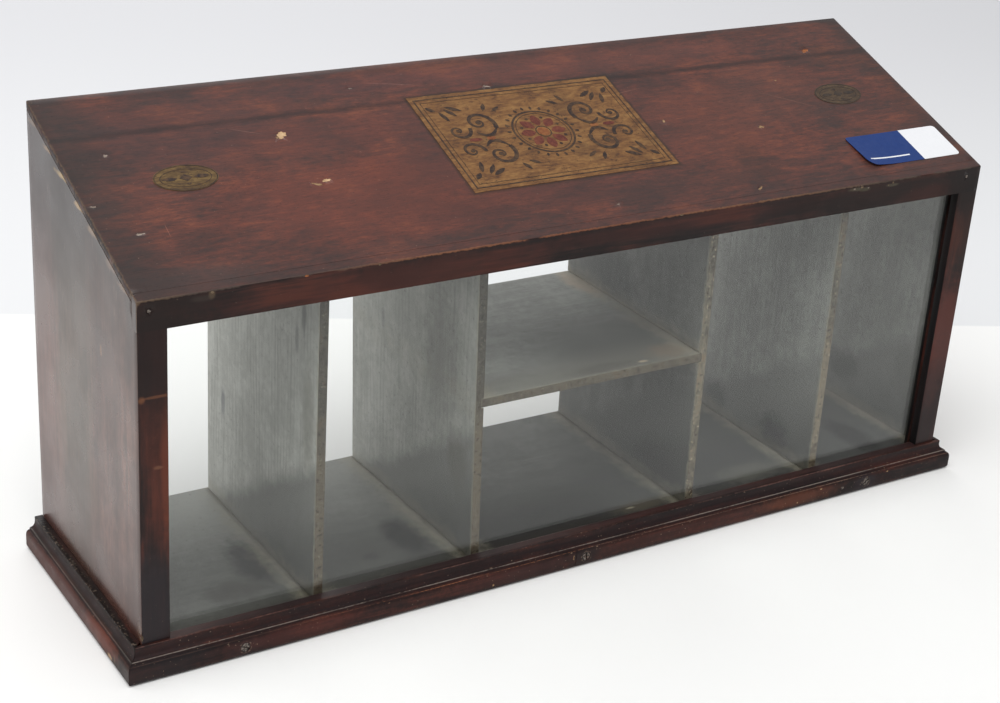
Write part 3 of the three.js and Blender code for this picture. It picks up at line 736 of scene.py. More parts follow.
# Clean wood laid bare in chips: dark and pale tones
CHIP_TONES = {
    "tan": ((118, 86, 60), (168, 138, 104)),
    "dull": ((84, 68, 54), (124, 106, 84)),
    "pale": ((150, 114, 80), (210, 178, 138)),
    "amber": ((120, 68, 42), (170, 108, 66)),
    "grey": ((112, 96, 86), (164, 150, 138)),
}


def chip_wood(name):
    s = Shader("chip_" + name)
    dark, pale = CHIP_TONES[name]
    splinter = s.noise((0.004, 0.0008, 0.0008), 3.0, 0.6)
    s.colour = s.ramp(splinter, (0.35, dark), (0.6, pale))
    return s.finish(0.7, splinter, 0.5, specular_ior_level=0.3)


# Other finishes

def metal_finish():
    s = Shader("screw_steel")
    s.colour = s.mix(s.remap(s.noise(0.0009), 0.40, 0.60), (36, 33, 32), (128, 118, 110))
    s.tint(s.remap(s.noise(0.0016), 0.52, 0.66), 0.6, (84, 56, 42))
    rough = s.wander(0.0009, 0.30, 0.55, 2.0)
    return s.finish(rough, s.noise(0.0006, 2.0), 0.4, 0.05 * MM, metallic=0.6)


def glass_finish():
    """Clear glass that lets the lamps' light straight through."""
    s = Shader("glass")
    bump = s.add("Bump", {"Height": s.noise(0.12, 1.0), "Strength": 0.02, "Distance": 0.5 * MM})
    clear = s.add("BsdfPrincipled", {
        "Base Color": (0.97, 0.985, 0.975, 1), "Roughness": 0.0, "IOR": 1.4,
        "Transmission Weight": 1.0, "Normal": bump})
    open_to_lamps = s.add("BsdfTransparent", {"Color": (0.9, 0.92, 0.9, 1)})
    shadow = s.add("LightPath", out="Is Shadow Ray")
    s.put(s.output.inputs["Surface"], s.add("MixShader", {0: shadow, 1: clear, 2: open_to_lamps}))
    return s.material


def gilt_finish(name, dark, mid, pale, dull=0.0):
    s = Shader(name, sloping=True)
    smear = s.noise((0.016, 0.005, 0.01), 4.0, 0.65, 1.2)
    fine = s.noise((0.003, 0.0012, 0.002), 3.0, 0.6)
    s.colour = s.ramp(s.sum((smear, 0.65), (fine, 0.35)), (0.36, dark), (0.50, mid), (0.62, pale))
    s.tint(s.remap(s.noise(0.02), 0.50, 0.68), 0.35 + dull, (64, 46, 36))
    s.tint(s.specks(0.0014, 0.68), 0.6, (48, 34, 28))
    rough = s.remap(fine, 0.3, 0.7, 0.38, 0.52)
    return s.finish(rough, fine, 0.3, 0.04 * MM, metallic=0.15, specular_ior_level=0.3)


def ink_finish(name, thin, full):
    """Printing that has worn thin in places."""
    s = Shader(name, sloping=True)
    wear = s.sum((s.noise(0.0015), 0.6), (s.noise(0.008), 0.4))
    s.colour = s.ramp(wear, (0.42, full), (0.62, thin))
    return s.finish(0.5, wear, 0.2, 0.03 * MM, specular_ior_level=0.3)


def paper_finish(name, low, high):
    s = Shader(name, sloping=True)
    fibre = s.noise(0.0012)
    s.colour = s.mix(fibre, low, high)
    rough = s.wander(0.006, 0.42, 0.55, 2.0)
    return s.finish(rough, fibre, 0.15, 0.03 * MM, specular_ior_level=0.35)


# Worn copies of the boards

SHARP = math.radians(32)
WEAR = 0.1
DUST_REACH = 14


def settle(piece, slot, *nodes):
    """Puts a finished piece on the case in the place of its CAD nodes."""
    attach(piece, "root")
    if nodes:
        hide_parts(*nodes)
    return piece


def new_piece(name, bm, materials):
    mesh = bpy.data.meshes.new(name)
    bm.to_mesh(mesh)
    bm.free()
    for material in materials:
        mesh.materials.append(material)
    piece = bpy.data.objects.new(name, mesh)
    bpy.context.scene.collection.objects.link(piece)
    return piece


def nearest_feet(mesh, segments):
    """How far each vertex is from the nearest of some segments, and the place on it."""
    points = np.array([v.co for v in mesh.vertices], float)
    nearest = np.full(len(points), 1e9)
    feet = points.copy()
    for a, b in segments:
        along = b - a
        t = np.clip(((points - a) @ along) / max(along @ along, 1e-12), 0, 1)
        foot = a + t[:, None] * along
        far = np.linalg.norm(points - foot, axis=1)
        close = far < nearest
        nearest[close] = far[close]
        feet[close] = foot[close]
    return nearest, feet


def write_attribute(mesh, name, values):
    data = mesh.attributes.new(name, "FLOAT", "POINT")
    data.data.foreach_set("value", np.asarray(values, np.float32))


def nearness(mesh, name, segments, reach):
    """Writes how near each vertex is to some segments: 1 on them and 0 from reach onwards."""
    write_attribute(mesh, name, np.clip(1 - nearest_feet(mesh, segments)[0] / reach, 0, 1))


def fill_joint(mesh, segments, gap):
    """Draws the lips of the grooves in a board up to the boards that stand in them."""
    for vertex, far, foot in zip(mesh.vertices, *nearest_feet(mesh, segments)):
        if far < gap * 2:
            vertex.co = foot


def cut_grid(bm, pitch, low, high):
    for axis in range(3):
        span = high[axis] - low[axis]
        if span < 1.6 * pitch:
            continue
        count = max(4, round(span / pitch))
        normal = Vector([float(i == axis) for i in range(3)])
        for i in range(1, count):
            at = Vector((0, 0, 0))
            at[axis] = low[axis] + span * i / count
            geometry = bm.verts[:] + bm.edges[:] + bm.faces[:]
            bmesh.ops.bisect_plane(bm, geom=geometry, plane_co=at, plane_no=normal, dist=1e-6)


def on_plane(vertex, plane):
    point, normal = plane
    return abs((vertex.co - Vector(point)).dot(Vector(normal))) < 2e-5


def wear_in(bm, depth, held=()):
    """Sinks the surface by up to depth, unevenly, so that no face is dead flat. Vertices on a
    held plane stay on it, so that a joint stays closed."""
    bm.normal_update()
    moved = []
    for v in bm.verts:
        broad = noise.noise(v.co * 28)
        fine = noise.noise(v.co * 150)
        step = -v.normal * depth * (0.5 + 0.38 * broad + 0.12 * fine)
        for plane in held:
            if on_plane(v, plane):
                normal = Vector(plane[1])
                step -= normal * step.dot(normal)
        moved.append(v.co + step)
    for v, co in zip(bm.verts, moved):
        v.co = co


def smooth(mesh):
    mesh.shade_smooth()
    mesh.set_sharp_from_angle(angle=SHARP)


def dress_faces(mesh, looks):
    """Gives each face the first look whose direction it faces; the last look takes the rest."""
    for polygon in mesh.polygons:
        for material, direction in looks:
            if direction is None or polygon.normal.dot(Vector(direction)) > 0.7:
                polygon.material_index = mesh.materials.find(material.name)
                break


def rock(bm, centre, radii, turn, seed, material_index):
    """Adds a rough lump to a set of cutters: radii across, along and deep, in mm."""
    made = bmesh.ops.create_icosphere(bm, subdivisions=4, radius=1.0)["verts"]
    shift = Vector((seed * 5.3 + 0.4, seed * 1.9 + 0.7, seed * 2.7 + 0.2))
    for v in made:
        flat = Vector((v.co.x, v.co.y, 0.3 * v.co.z))
        swell = 0.95 + 0.6 * noise.noise(flat * 1.1 + shift) + 0.42 * noise.noise(flat * 2.9 + shift)
        v.co = turn @ Vector([v.co[i] * radii[i] * MM * (swell if i < 2 else 1) for i in range(3)]) + centre
    for face in {face for v in made for face in v.link_faces}:
        face.material_index = material_index


def carve(piece, cutter_mesh, materials):
    """Cuts the cutters out of a piece and gives the cut faces the cutters' materials."""
    cutter = new_piece(piece.name + "_cutter", cutter_mesh, materials)
    step = piece.modifiers.new("carve", "BOOLEAN")
    step.object = cutter
    step.operation = "DIFFERENCE"
    step.solver = "EXACT"
    step.use_self = True
    step.material_mode = "TRANSFER"
    bpy.context.view_layer.update()
    graph = bpy.context.evaluated_depsgraph_get()
    result = bpy.data.meshes.new_from_object(piece.evaluated_get(graph))
    piece.modifiers.clear()
    piece.data = result
    bpy.data.objects.remove(cutter)


def sharp_arrises(bm, crisp, shortest):
    """Edges to round: the sharp ones above a length in mm that don't lie on a crisp plane."""
    found = []
    for edge in bm.edges:
        sharp = len(edge.link_faces) == 2 and edge.calc_face_angle(0) > SHARP
        held = any(all(on_plane(v, plane) for v in edge.verts) for plane in crisp)
        if sharp and not held and edge.calc_length() > shortest * MM:
            found.append(edge)
    return found


def carve_chips(piece, chips, first_seed):
    """Cuts rough lumps out of a board, each of them lined with its own wood."""
    cutters = bmesh.new()
    materials = list(dict.fromkeys(chip[3] for chip in chips))
    for seed, (centre, radii, turn, material) in enumerate(chips, first_seed):
        rock(cutters, centre, radii, turn, seed, materials.index(material))
    carve(piece, cutters, materials)


def worn_board(node, slot, looks, rounding=0.6, tight=(), moved=(), pitch=4.0, reach=3.0,
               shortest=4.0, chips=(), junctions=None):
    """A worn copy of a CAD board. Sizes are in mm. The arrises on tight planes stay crisp, and
    faces on a moved plane come forward to close a joint."""
    bm = bmesh.new()
    bm.from_mesh(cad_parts[node].data)
    bmesh.ops.remove_doubles(bm, verts=bm.verts, dist=1e-6)
    bmesh.ops.dissolve_limit(bm, angle_limit=math.radians(0.4), verts=bm.verts, edges=bm.edges)
    arrises = sharp_arrises(bm, list(tight) + [plane for plane, _ in moved], shortest)
    segments = np.array([[tuple(v.co) for v in e.verts] for e in arrises])
    for plane, distance in moved:
        shift = Vector(plane[1]) * distance * MM
        for v in bm.verts:
            if on_plane(v, plane):
                v.co += shift
    bmesh.ops.bevel(bm, geom=arrises, offset=rounding * MM, segments=2, profile=0.5,
                    affect="EDGES", clamp_overlap=True)
    cut_grid(bm, pitch * MM, *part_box(node))
    closed = [(tuple(Vector(point) + Vector(normal) * distance * MM), normal)
              for (point, normal), distance in moved]
    wear_in(bm, WEAR * MM, list(tight) + closed)
    piece = new_piece(node + "_dressed", bm, list(dict.fromkeys(look[0] for look in looks)))
    dress_faces(piece.data, looks)
    if chips:
        carve_chips(piece, chips, len(node))
    nearness(piece.data, "edge", segments, reach * MM)
    if junctions is not None:
        nearness(piece.data, "dust", junctions, DUST_REACH * MM)
    smooth(piece.data)
    return settle(piece, slot, node)


def junction_lines():
    """Where the inner boards meet, as segments: dividers on the floor, and the shelf's two ends."""
    segments = []
    for name in DIVIDERS:
        low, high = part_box(name)
        foot = [v.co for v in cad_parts[name].data.vertices if v.co.z < low.z + 0.1 * MM]
        ends = [sorted(v.x for v in foot if abs(v.y - y) < 0.1 * MM) for y in (low.y, high.y)]
        for side in (0, -1):
            segments.append([(ends[0][side], low.y, FLOOR_TOP), (ends[1][side], high.y, FLOOR_TOP)])
    shelf = [v.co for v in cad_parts["centre_shelf"].data.vertices]
    low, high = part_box("centre_shelf")
    for z in (SHELF_UNDER, SHELF_TOP):
        for pick, inward in ((min, 1.5 * MM), (max, -1.5 * MM)):
            ends = [pick(v.x for v in shelf if abs(v.y - y) < 0.1 * MM) for y in (low.y, high.y)]
            segments.append([(ends[0] + inward, low.y, z), (ends[1] + inward, high.y, z)])
    for x in (-SIDE_INNER, SIDE_INNER):
        segments.append([(x, FRONT_Y, FLOOR_TOP), (x, BACK_Y, FLOOR_TOP)])
    return np.array(segments)


# Chips: place, radii in mm, turn in degrees, wood. On the top, places go from its left end and up
FRONT_TOP_CHIPS = [
    ((109.4, 95.4), (2.9, 2.1, 0.5), 20, "pale"),
    ((106.9, 94.4), (1.2, 0.8, 0.4), 0, "tan"),
    ((111.6, 57.6), (3.0, 0.7, 0.4), -24, "tan"),
    ((116.4, 59.6), (2.2, 0.9, 0.4), 12, "pale"),
    ((374.0, 55.5), (1.7, 1.2, 0.4), 10, "tan"),
    ((319.0, 70.4), (0.8, 1.3, 0.3), 0, "tan"),
    ((341.5, 9.6), (2.2, 0.6, 0.35), 35, "tan"),
    ((17.7, 41.3), (2.0, 0.7, 0.3), 0, "grey"),
    ((21.6, 96.1), (1.0, 0.8, 0.3), 0, "grey"),
    ((4.1, 62.7), (1.3, 0.8, 0.3), 0, "grey"),
    ((255.0, 14.0), (0.9, 0.5, 0.3), 0, "grey"),
    ((410.0, 92.0), (0.8, 0.5, 0.3), 0, "tan"),
]
REAR_TOP_CHIPS = [
    ((233.7, 115.1), (2.2, 0.8, 0.3), -15, "grey"),
    ((447.6, 114.4), (2.7, 1.3, 0.45), 8, "amber"),
    ((160.0, 125.0), (0.9, 0.5, 0.3), 0, "grey"),
]
RAIL_CHIPS = [
    ((-210.4, -63.3, 185.0), (0.8, 0.4, 0.7), 12, "dull"),
    ((-165.6, -63.3, 185.6), (1.1, 0.5, 0.5), 0, "amber"),
    ((-129.2, -63.3, 185.3), (0.8, 0.4, 0.5), 0, "dull"),
    ((158.3, -63.3, 184.9), (1.2, 0.4, 0.7), 20, "dull"),
    ((180.3, -63.3, 184.5), (0.9, 0.4, 0.6), 0, "dull"),
    ((153.6, -63.3, 184.2), (0.8, 0.4, 0.5), 0, "grey"),
    ((177.2, -63.3, 183.6), (0.7, 0.4, 0.4), 0, "dull"),
    ((163.0, -63.3, 183.9), (0.5, 0.4, 0.4), 0, "grey"),
    ((40.0, -63.3, 185.6), (1.3, 0.4, 0.4), 0, "dull"),
]
SIDE_CHIPS = [((-244.7, -63.1, 20.0), (0.6, 0.6, 1.4), 0, "dull")]
MOULD_CHIPS = [
    ((-13.2, -69.8, 8.9), (1.1, 0.4, 0.6)),
    ((-11.4, -69.8, 6.4), (0.5, 0.4, 1.6)),
    ((144.8, -66.9, 15.6), (0.55, 0.5, 0.5)),
    ((155.5, -69.8, 8.4), (0.8, 0.4, 0.5)),
    ((139.0, -69.8, 3.6), (0.6, 0.4, 0.5)),
    ((-120.0, -69.8, 8.8), (0.7, 0.4, 0.4)),
    ((-60.0, -69.8, 3.0), (0.6, 0.4, 0.6)),
    ((205.0, -69.8, 8.6), (0.9, 0.4, 0.4)),
]


def top_chips(rows, woods):
    slope = Matrix.Rotation(SLOPE, 3, "X")
    return [(on_top(across * MM - HALF_WIDTH, up * MM), radii,
             slope @ Matrix.Rotation(math.radians(degrees), 3, "Z"), woods[wood])
            for (across, up), radii, degrees, wood in rows]


def plain_chips(rows, woods):
    return [(Vector(place) * MM, radii, Matrix.Rotation(math.radians(degrees), 3, "Y"), woods[wood])
            for place, radii, degrees, wood in rows]


# The base moulding

def arc(cx, cz, radius_x, radius_z, start, end, steps):
    angles = [math.radians(start + (end - start) * i / steps) for i in range(steps + 1)]
    return [(cx + radius_x * math.cos(a), cz + radius_z * math.sin(a)) for a in angles]


def moulding_section():
    """Out from the wall and up from the table, with the mark that each point carries."""
    out, top = MOULD_OUT, MOULD_HEIGHT
    face, nose, nose_height, foot = 10.3 * MM, 1.7 * MM, 2.8 * MM, 2.2 * MM
    lip_out, lip_top, lip_flat = 6.9 * MM, 11.5 * MM, 0.5 * MM
    fillet_out, fillet = 4.1 * MM, 2.3 * MM
    ease = 0.25 * MM
    cove = arc(lip_out - lip_flat, top - fillet, lip_out - lip_flat - fillet_out,
               top - fillet - lip_top, -90, -180, 9)
    nose_arc = arc(out - nose, face - nose_height, nose, nose_height, 0, 90, 6)
    marked = [((0.0, 0.0), "")]
    marked += [(p, "") for p in arc(out - foot, foot, foot, foot, -90, 0, 5)]
    marked += [((out, 0.45 * (foot + face - nose_height)), "")]
    marked += [(p, "nose" if i == 4 else "") for i, p in enumerate(nose_arc)]
    marked += [((lip_out + ease, face), "hollow"), ((lip_out, face + ease), "hollow"),
               ((lip_out, lip_top - ease), "lip"), ((lip_out - ease, lip_top), "lip")]
    marked += [(p, "lip" if i == 0 else "hollow" if i > 2 else "") for i, p in enumerate(cove)]
    marked += [((fillet_out, top - ease), "brim"), ((fillet_out - ease, top), "brim"), ((0.0, top), "")]
    return marked


def sweep(name, rows, marks, material):
    """Joins sections end to end; rows is a list of them, each with as many points."""
    bm = bmesh.new()
    rings = [[bm.verts.new(p) for p in row] for row in rows]
    count = len(rows[0])
    for a, b in zip(rings, rings[1:]):
        for i in range(count):
            j = (i + 1) % count
            bm.faces.new((a[i], a[j], b[j], b[i]))
    bm.faces.new(rings[0][::-1])
    bm.faces.new(rings[-1])
    bmesh.ops.recalc_face_normals(bm, faces=bm.faces)
    wear_in(bm, 0.12 * MM)
    piece = new_piece(name + "_dressed", bm, [material])
    for kind in ("nose", "lip", "hollow", "brim"):
        write_attribute(piece.data, kind, [float(m == kind) for m in marks] * len(rows))
    return piece


def screw_seats():
    """Cutters for the seats of the three screws and the brad, the crack and the chips."""
    bm = bmesh.new()
    head, shank, face, sunk = 4.9, 2.5, -2.0, 0.35
    cone = (head, shank, sunk, sunk + (head - shank) / 2)
    seats = [(node, [(head, head, face, sunk), cone]) for node in SCREWS]
    seats += [("moulding_brad", [(2.3, 2.3, face, sunk)])]
    for node, spans in seats:
        low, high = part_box(node)
        for wide, narrow, start, end in spans:
            middle = Matrix.Translation(((low.x + high.x) / 2, low.y + (start + end) / 2 * MM,
                                         (low.z + high.z) / 2))
            bmesh.ops.create_cone(bm, cap_ends=True, segments=32, radius1=wide / 2 * MM,
                                  radius2=narrow / 2 * MM, depth=(end - start) * MM,
                                  matrix=middle @ Matrix.Rotation(math.radians(-90), 4, "X"))
    lean = Matrix.Rotation(math.radians(4), 4, "Y")
    crack = Matrix.Translation((-9.6 * MM, MOULD_FRONT, 8 * MM)) @ lean
    bmesh.ops.create_cube(bm, size=1.0, matrix=crack @ Matrix.Diagonal((0.28 * MM, 2.2 * MM, 30 * MM, 1)))
    for seed, (place, radii) in enumerate(MOULD_CHIPS):
        rock(bm, Vector(place) * MM, radii, Matrix.Identity(3), seed + 3, 1)
    return bm


def add_mouldings(front_wood, end_wood, chip):
    section, marks = zip(*moulding_section())
    gap = 0.12 * MM
    steps = 250
    rows = [[((HALF_WIDTH + max(u, MOULD_SET_IN) - gap) * (2 * i / steps - 1),
              FRONT_Y - max(0.0, u - MOULD_SET_IN), z) for u, z in section] for i in range(steps + 1)]
    front = sweep("base_moulding_front", rows, marks, front_wood)
    carve(front, screw_seats(), [front_wood, chip])
    smooth(front.data)
    settle(front, "dark_wood", "base_moulding_front")
    steps = 60
    for hand, side in ((-1, "left"), (1, "right")):
        rows = []
        for i in range(steps + 1):
            starts = [FRONT_Y + MOULD_SET_IN - u + gap for u, _ in section]
            rows.append([(hand * (HALF_WIDTH + u), start + (BACK_Y - start) * (i / steps), z)
                         for start, (u, z) in zip(starts, section)])
        name = f"base_moulding_{side}"
        piece = sweep(name, rows, marks, end_wood)
        smooth(piece.data)
        settle(piece, "dark_wood", name)


# Transfers and label on the sloping top, in mm across and up the slope

INK, RED, AMBER = 1, 2, 3
INLAY = (0.13, 0.20)


def prism(bm, loop, material_index=INK, low=INLAY[0], high=INLAY[1]):
    """A thin flat solid on the top with this outline, between two heights off its surface."""
    under = [bm.verts.new(on_top(x * MM, y * MM, low * MM)) for x, y in loop]
    over = [bm.verts.new(on_top(x * MM, y * MM, high * MM)) for x, y in loop]
    faces = [bm.faces.new(under[::-1]), bm.faces.new(over)]
    for i in range(len(loop)):
        j = (i + 1) % len(loop)
        faces.append(bm.faces.new((under[i], under[j], over[j], over[i])))
    for face in faces:
        face.material_index = material_index


def band(bm, outline, cx, cy, rx, ry, width, count):
    """An inlaid band of this width inside an ellipse or a rectangle."""
    outer, inner = outline(cx, cy, rx, ry, count), outline(cx, cy, rx - width, ry - width, count)
    low, high = INLAY
    rings = [[bm.verts.new(on_top(x * MM, y * MM, h * MM)) for x, y in loop]
             for loop, h in ((outer, low), (outer, high), (inner, high), (inner, low))]
    for a, b in zip(rings, rings[1:] + rings[:1]):
        for i in range(len(outer)):
            j = (i + 1) % len(outer)
            bm.faces.new((a[i], a[j], b[j], b[i])).material_index = INK


def ellipse(cx, cy, rx, ry, count):
    return [(cx + rx * math.cos(a), cy + ry * math.sin(a))
            for a in (2 * math.pi * i / count for i in range(count))]


def rectangle(cx, cy, rx, ry, steps, jitter=0.0, rng=None):
    """A rectangle's outline with steps points to a side, so that its edges can wander."""
    corners = [(-rx, -ry), (rx, -ry), (rx, ry), (-rx, ry)]
    points = []
    for (ax, ay), (bx, by) in zip(corners, corners[1:] + corners[:1]):
        for i in range(steps):
            t = i / steps
            wobble = rng.uniform(-jitter, jitter) if rng else 0.0
            points.append((cx + ax + (bx - ax) * t + wobble, cy + ay + (by - ay) * t + wobble))
    return points


def stroke(path, width):
    """The outline of a brush stroke along a path; width gives its half width from 0 to 1."""
    left, right = [], []
    for i, (x, y) in enumerate(path):
        ax, ay = path[max(i - 1, 0)]
        bx, by = path[min(i + 1, len(path) - 1)]
        length = math.hypot(bx - ax, by - ay)
        nx, ny = (ay - by) / length, (bx - ax) / length
        w = width(i / (len(path) - 1))
        left.append((x + nx * w, y + ny * w))
        right.append((x - nx * w, y - ny * w))
    return left + right[::-1]


def leaf(x, y, angle, length, width):
    """A pointed leaf from its foot."""
    path = [(x + length * t * math.cos(angle), y + length * t * math.sin(angle))
            for t in (i / 10 for i in range(11))]
    return stroke(path, lambda t: 0.06 + width / 2 * math.sin(math.pi * t) ** 0.8)


def spiral(cx, cy, start_radius, end_radius, start, turns):
    path = []
    count = 44
    for i in range(count + 1):
        t = i / count
        radius = start_radius * (end_radius / start_radius) ** t
        angle = start + turns * 2 * math.pi * t
        path.append((cx + radius * math.cos(angle), cy + radius * math.sin(angle)))
    return path


def mirrored(shapes, cx, cy):
    """Each outline in all four quarters about a centre."""
    for loop in shapes:
        for fx in (1, -1):
            for fy in (1, -1):
                turned = [(cx + fx * (x - cx), cy + fy * (y - cy)) for x, y in loop]
                yield turned if fx * fy > 0 else turned[::-1]


def plate_ornament(bm, cx, cy):
    """A plain medallion between scrolls, in a double border."""
    for rx, ry, w in ((58.4, 35.4, 0.8), (55.6, 32.6, 0.35)):
        band(bm, rectangle, cx, cy, rx, ry, w, 2)
    for radius, w in ((17.0, 1.1), (14.8, 0.4), (4.4, 0.6)):
        band(bm, ellipse, cx, cy, radius, radius, w, 48)
    for i in range(8):
        angle = math.pi / 4 * i
        prism(bm, leaf(cx + 4.7 * math.cos(angle), cy + 4.7 * math.sin(angle), angle, 8.6, 5.2), RED)
        angle += math.pi / 8
        prism(bm, ellipse(cx + 11.6 * math.cos(angle), cy + 11.6 * math.sin(angle), 0.9, 0.9, 14))
    prism(bm, ellipse(cx, cy, 3.2, 3.2, 28), AMBER)
    for i in range(24):
        angle = 2 * math.pi * (i + 0.5) / 24
        prism(bm, leaf(cx + 17.8 * math.cos(angle), cy + 17.8 * math.sin(angle), angle, 2.6, 1.5))
    stem = [(cx + 24.0 + 12.5 * t, cy + 7.2 - 5.2 * math.sin(math.pi * t * 0.9))
            for t in (i / 12 for i in range(13))]
    scrolls = [
        stroke(spiral(cx + 32.0, cy + 12.6, 9.6, 1.6, math.radians(215), -1.35),
               lambda t: 0.35 + 0.95 * (1 - t)),
        stroke(stem, lambda t: 0.4 + 0.8 * math.sin(math.pi * t)),
        stroke(spiral(cx + 46.0, cy + 8.0, 7.4, 1.3, math.radians(170), 1.25),
               lambda t: 0.3 + 0.75 * (1 - t)),
    ]
    scrolls += [leaf(cx + x, cy + y, math.radians(degrees), length, width)
                for x, y, degrees, length, width in (
                    (36.0, 23.2, 28, 9.0, 2.6), (40.5, 19.6, 52, 8.2, 2.4), (46.5, 16.2, 72, 8.4, 2.4),
                    (24.6, 21.2, 118, 6.4, 2.2), (20.0, 20.0, 150, 6.6, 2.0), (50.6, 24.6, 45, 5.8, 2.6))]
    scrolls += [ellipse(cx + 32.0, cy + 12.6, 1.5, 1.5, 18), ellipse(cx + 46.0, cy + 8.0, 1.2, 1.2, 18)]
    for loop in mirrored(scrolls, cx, cy):
        prism(bm, loop)
    for hand in (1, -1):
        prism(bm, ellipse(cx + hand * 31.0, cy, 2.5, 1.6, 20), AMBER)
        prism(bm, ellipse(cx + hand * 40.0, cy, 3.6, 1.3, 20), RED)


def oval_ornament(bm, cx, cy):
    """Two dark rings round a diamond between two long leaves."""
    for rx, ry, w in ((15.4, 8.9, 0.5), (12.6, 6.3, 0.35)):
        band(bm, ellipse, cx, cy, rx, ry, w, 64)
    prism(bm, [(cx - 3.2, cy), (cx, cy - 2.6), (cx + 3.2, cy), (cx, cy + 2.6)])
    for hand, angle in ((1, 0.0), (-1, math.pi)):
        prism(bm, leaf(cx + hand * 4.2, cy, angle, 7.2, 2.6))
    for side in (1, -1):
        prism(bm, ellipse(cx, cy + side * 4.3, 1.1, 0.7, 16))


def transfer_place(node):
    """Middle of a transfer, in mm across and up the slope."""
    low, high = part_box(node)
    middle = SLOPE_MATRIX.inverted() @ ((low + high) / 2)
    return middle.x / MM, middle.y / MM


def add_transfers():
    rng = random.Random(7)
    ink = ink_finish("ink", (84, 62, 42), (42, 30, 28))
    red = ink_finish("red_ink", (116, 62, 44), (86, 36, 30))
    amber = ink_finish("amber_ink", (142, 92, 50), (120, 66, 36))
    plate = gilt_finish("plate_gilt", (84, 56, 38), (124, 86, 50), (146, 108, 64))
    left = gilt_finish("left_gilt", (62, 44, 34), (96, 74, 44), (120, 96, 58), 0.1)
    right = gilt_finish("right_gilt", (54, 42, 36), (76, 60, 46), (96, 78, 58), 0.2)
    faint = ink_finish("faint_ink", (66, 54, 44), (50, 42, 38))

    def plate_outline(cx, cy):
        return rectangle(cx, cy, *PLATE_HALF, 30, 0.12, rng)

    def oval_outline(cx, cy):
        return ellipse(cx, cy, 15.7, 9.2, 72)

    for node, materials, outline, ornament in (
            ("top_transfer", [plate, ink, red, amber], plate_outline, plate_ornament),
            ("oval_transfer_left", [left, ink], oval_outline, oval_ornament),
            ("oval_transfer_right", [right, faint], oval_outline, oval_ornament)):
        cx, cy = transfer_place(node)
        bm = bmesh.new()
        prism(bm, outline(cx, cy), 0, 0.0, 0.14)
        ornament(bm, cx, cy)
        bmesh.ops.recalc_face_normals(bm, faces=bm.faces)
        settle(new_piece(node + "_dressed", bm, materials), "gilt", node)


LABEL_WIDTH = 66.7 * MM
LABEL_HEIGHT = 25.4 * MM
LABEL_RIGHT = HALF_WIDTH - 6.0 * MM
LABEL_UP = 24.6 * MM
LABEL_SPLIT = LABEL_RIGHT - 26.5 * MM


def label_sheet(across, up, lift):
    """A grid of points: a rounded sheet that curls up at its front left corner."""
    big_corner, corner, curl = 6.0 * MM, 2.2 * MM, 26 * MM
    width, height = LABEL_WIDTH, LABEL_HEIGHT
    rows = []
    for j in range(up + 1):
        row = []
        for i in range(across + 1):
            u, v = width * i / across, height * j / up
            turn = big_corner if u < width / 2 and v < height / 2 else corner
            du = max(turn - u, u - (width - turn), 0.0)
            dv = max(turn - v, v - (height - turn), 0.0)
            if du and dv:
                fold = max(du, dv) / math.hypot(du, dv)
                u = u + (1 - fold) * du * (1 if u < width / 2 else -1)
                v = v + (1 - fold) * dv * (1 if v < height / 2 else -1)
            bend = min(max(1 - u / curl, 0.0), 1.0)
            rise = (0.2 + 1.7 * (1 - v / height)) * bend ** 2 * MM
            drawn = 1.4 * MM * bend ** 2
            row.append(on_top(LABEL_RIGHT - width + u + drawn, LABEL_UP - height / 2 + v,
                              0.05 * MM + rise + lift))
        rows.append(row)
    return rows


def add_label():
    """A paper label, blue at the left with a white rule, and white at the right and below."""
    blue = paper_finish("blue_paper", (14, 46, 106), (22, 58, 124))
    white = paper_finish("white_paper", (232, 233, 236), (243, 243, 245))
    across, up, thick = 68, 26, 0.16 * MM
    rule_rows, rule_columns = (5, 6), (4, 34)
    bm = bmesh.new()
    sheets = [[[bm.verts.new(p) for p in row] for row in label_sheet(across, up, lift)]
              for lift in (0.0, thick)]
    split = round(across * (LABEL_SPLIT - LABEL_RIGHT + LABEL_WIDTH) / LABEL_WIDTH)
    for sheet, rows in enumerate(sheets):
        for j in range(up):
            for i in range(across):
                loop = (rows[j][i], rows[j][i + 1], rows[j + 1][i + 1], rows[j + 1][i])
                face = bm.faces.new(loop if sheet else loop[::-1])
                ruled = i in range(*rule_columns) and j in range(*rule_rows)
                face.material_index = int(sheet == 0 or i >= split or ruled)
    low, high = sheets
    rim = [(0, i) for i in range(across)] + [(j, across) for j in range(up)]
    rim += [(up, i) for i in range(across, 0, -1)] + [(j, 0) for j in range(up, 0, -1)]
    for (ja, ia), (jb, ib) in zip(rim, rim[1:] + rim[:1]):
        face = bm.faces.new((low[ja][ia], low[jb][ib], high[jb][ib], high[ja][ia]))
        face.material_index = int(min(ia, ib) >= split)
    bmesh.ops.recalc_face_normals(bm, faces=bm.faces)
    piece = new_piece("paper_label_dressed", bm, [blue, white])
    smooth(piece.data)
    settle(piece, "paper", "paper_label")


# The build

# Finishes of the dividers: painted light of a face, its painted low light, saw marks, painted light of an
# edge, its foot
DIVIDER_LOOKS = [
    (2.44, 0.65, 1.0, 0.84, 0.5),
    (2.12, 0.73, 0.7, 0.86, 0.5),
    (1.34, 0.93, 0.3, 1.24, 0.1),
    (1.86, 0.84, 0.5, 1.1, 0.4),
]


RAIL_SEAT = ((0, 0, RAIL_UNDER), UP)


def under_top(node):
    """The sloping plane along a board's upper edge, and how many mm it rises to meet the top."""
    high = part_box(node)[1]
    return ((0, high.y, high.z), OFF_SLOPE), 0.4


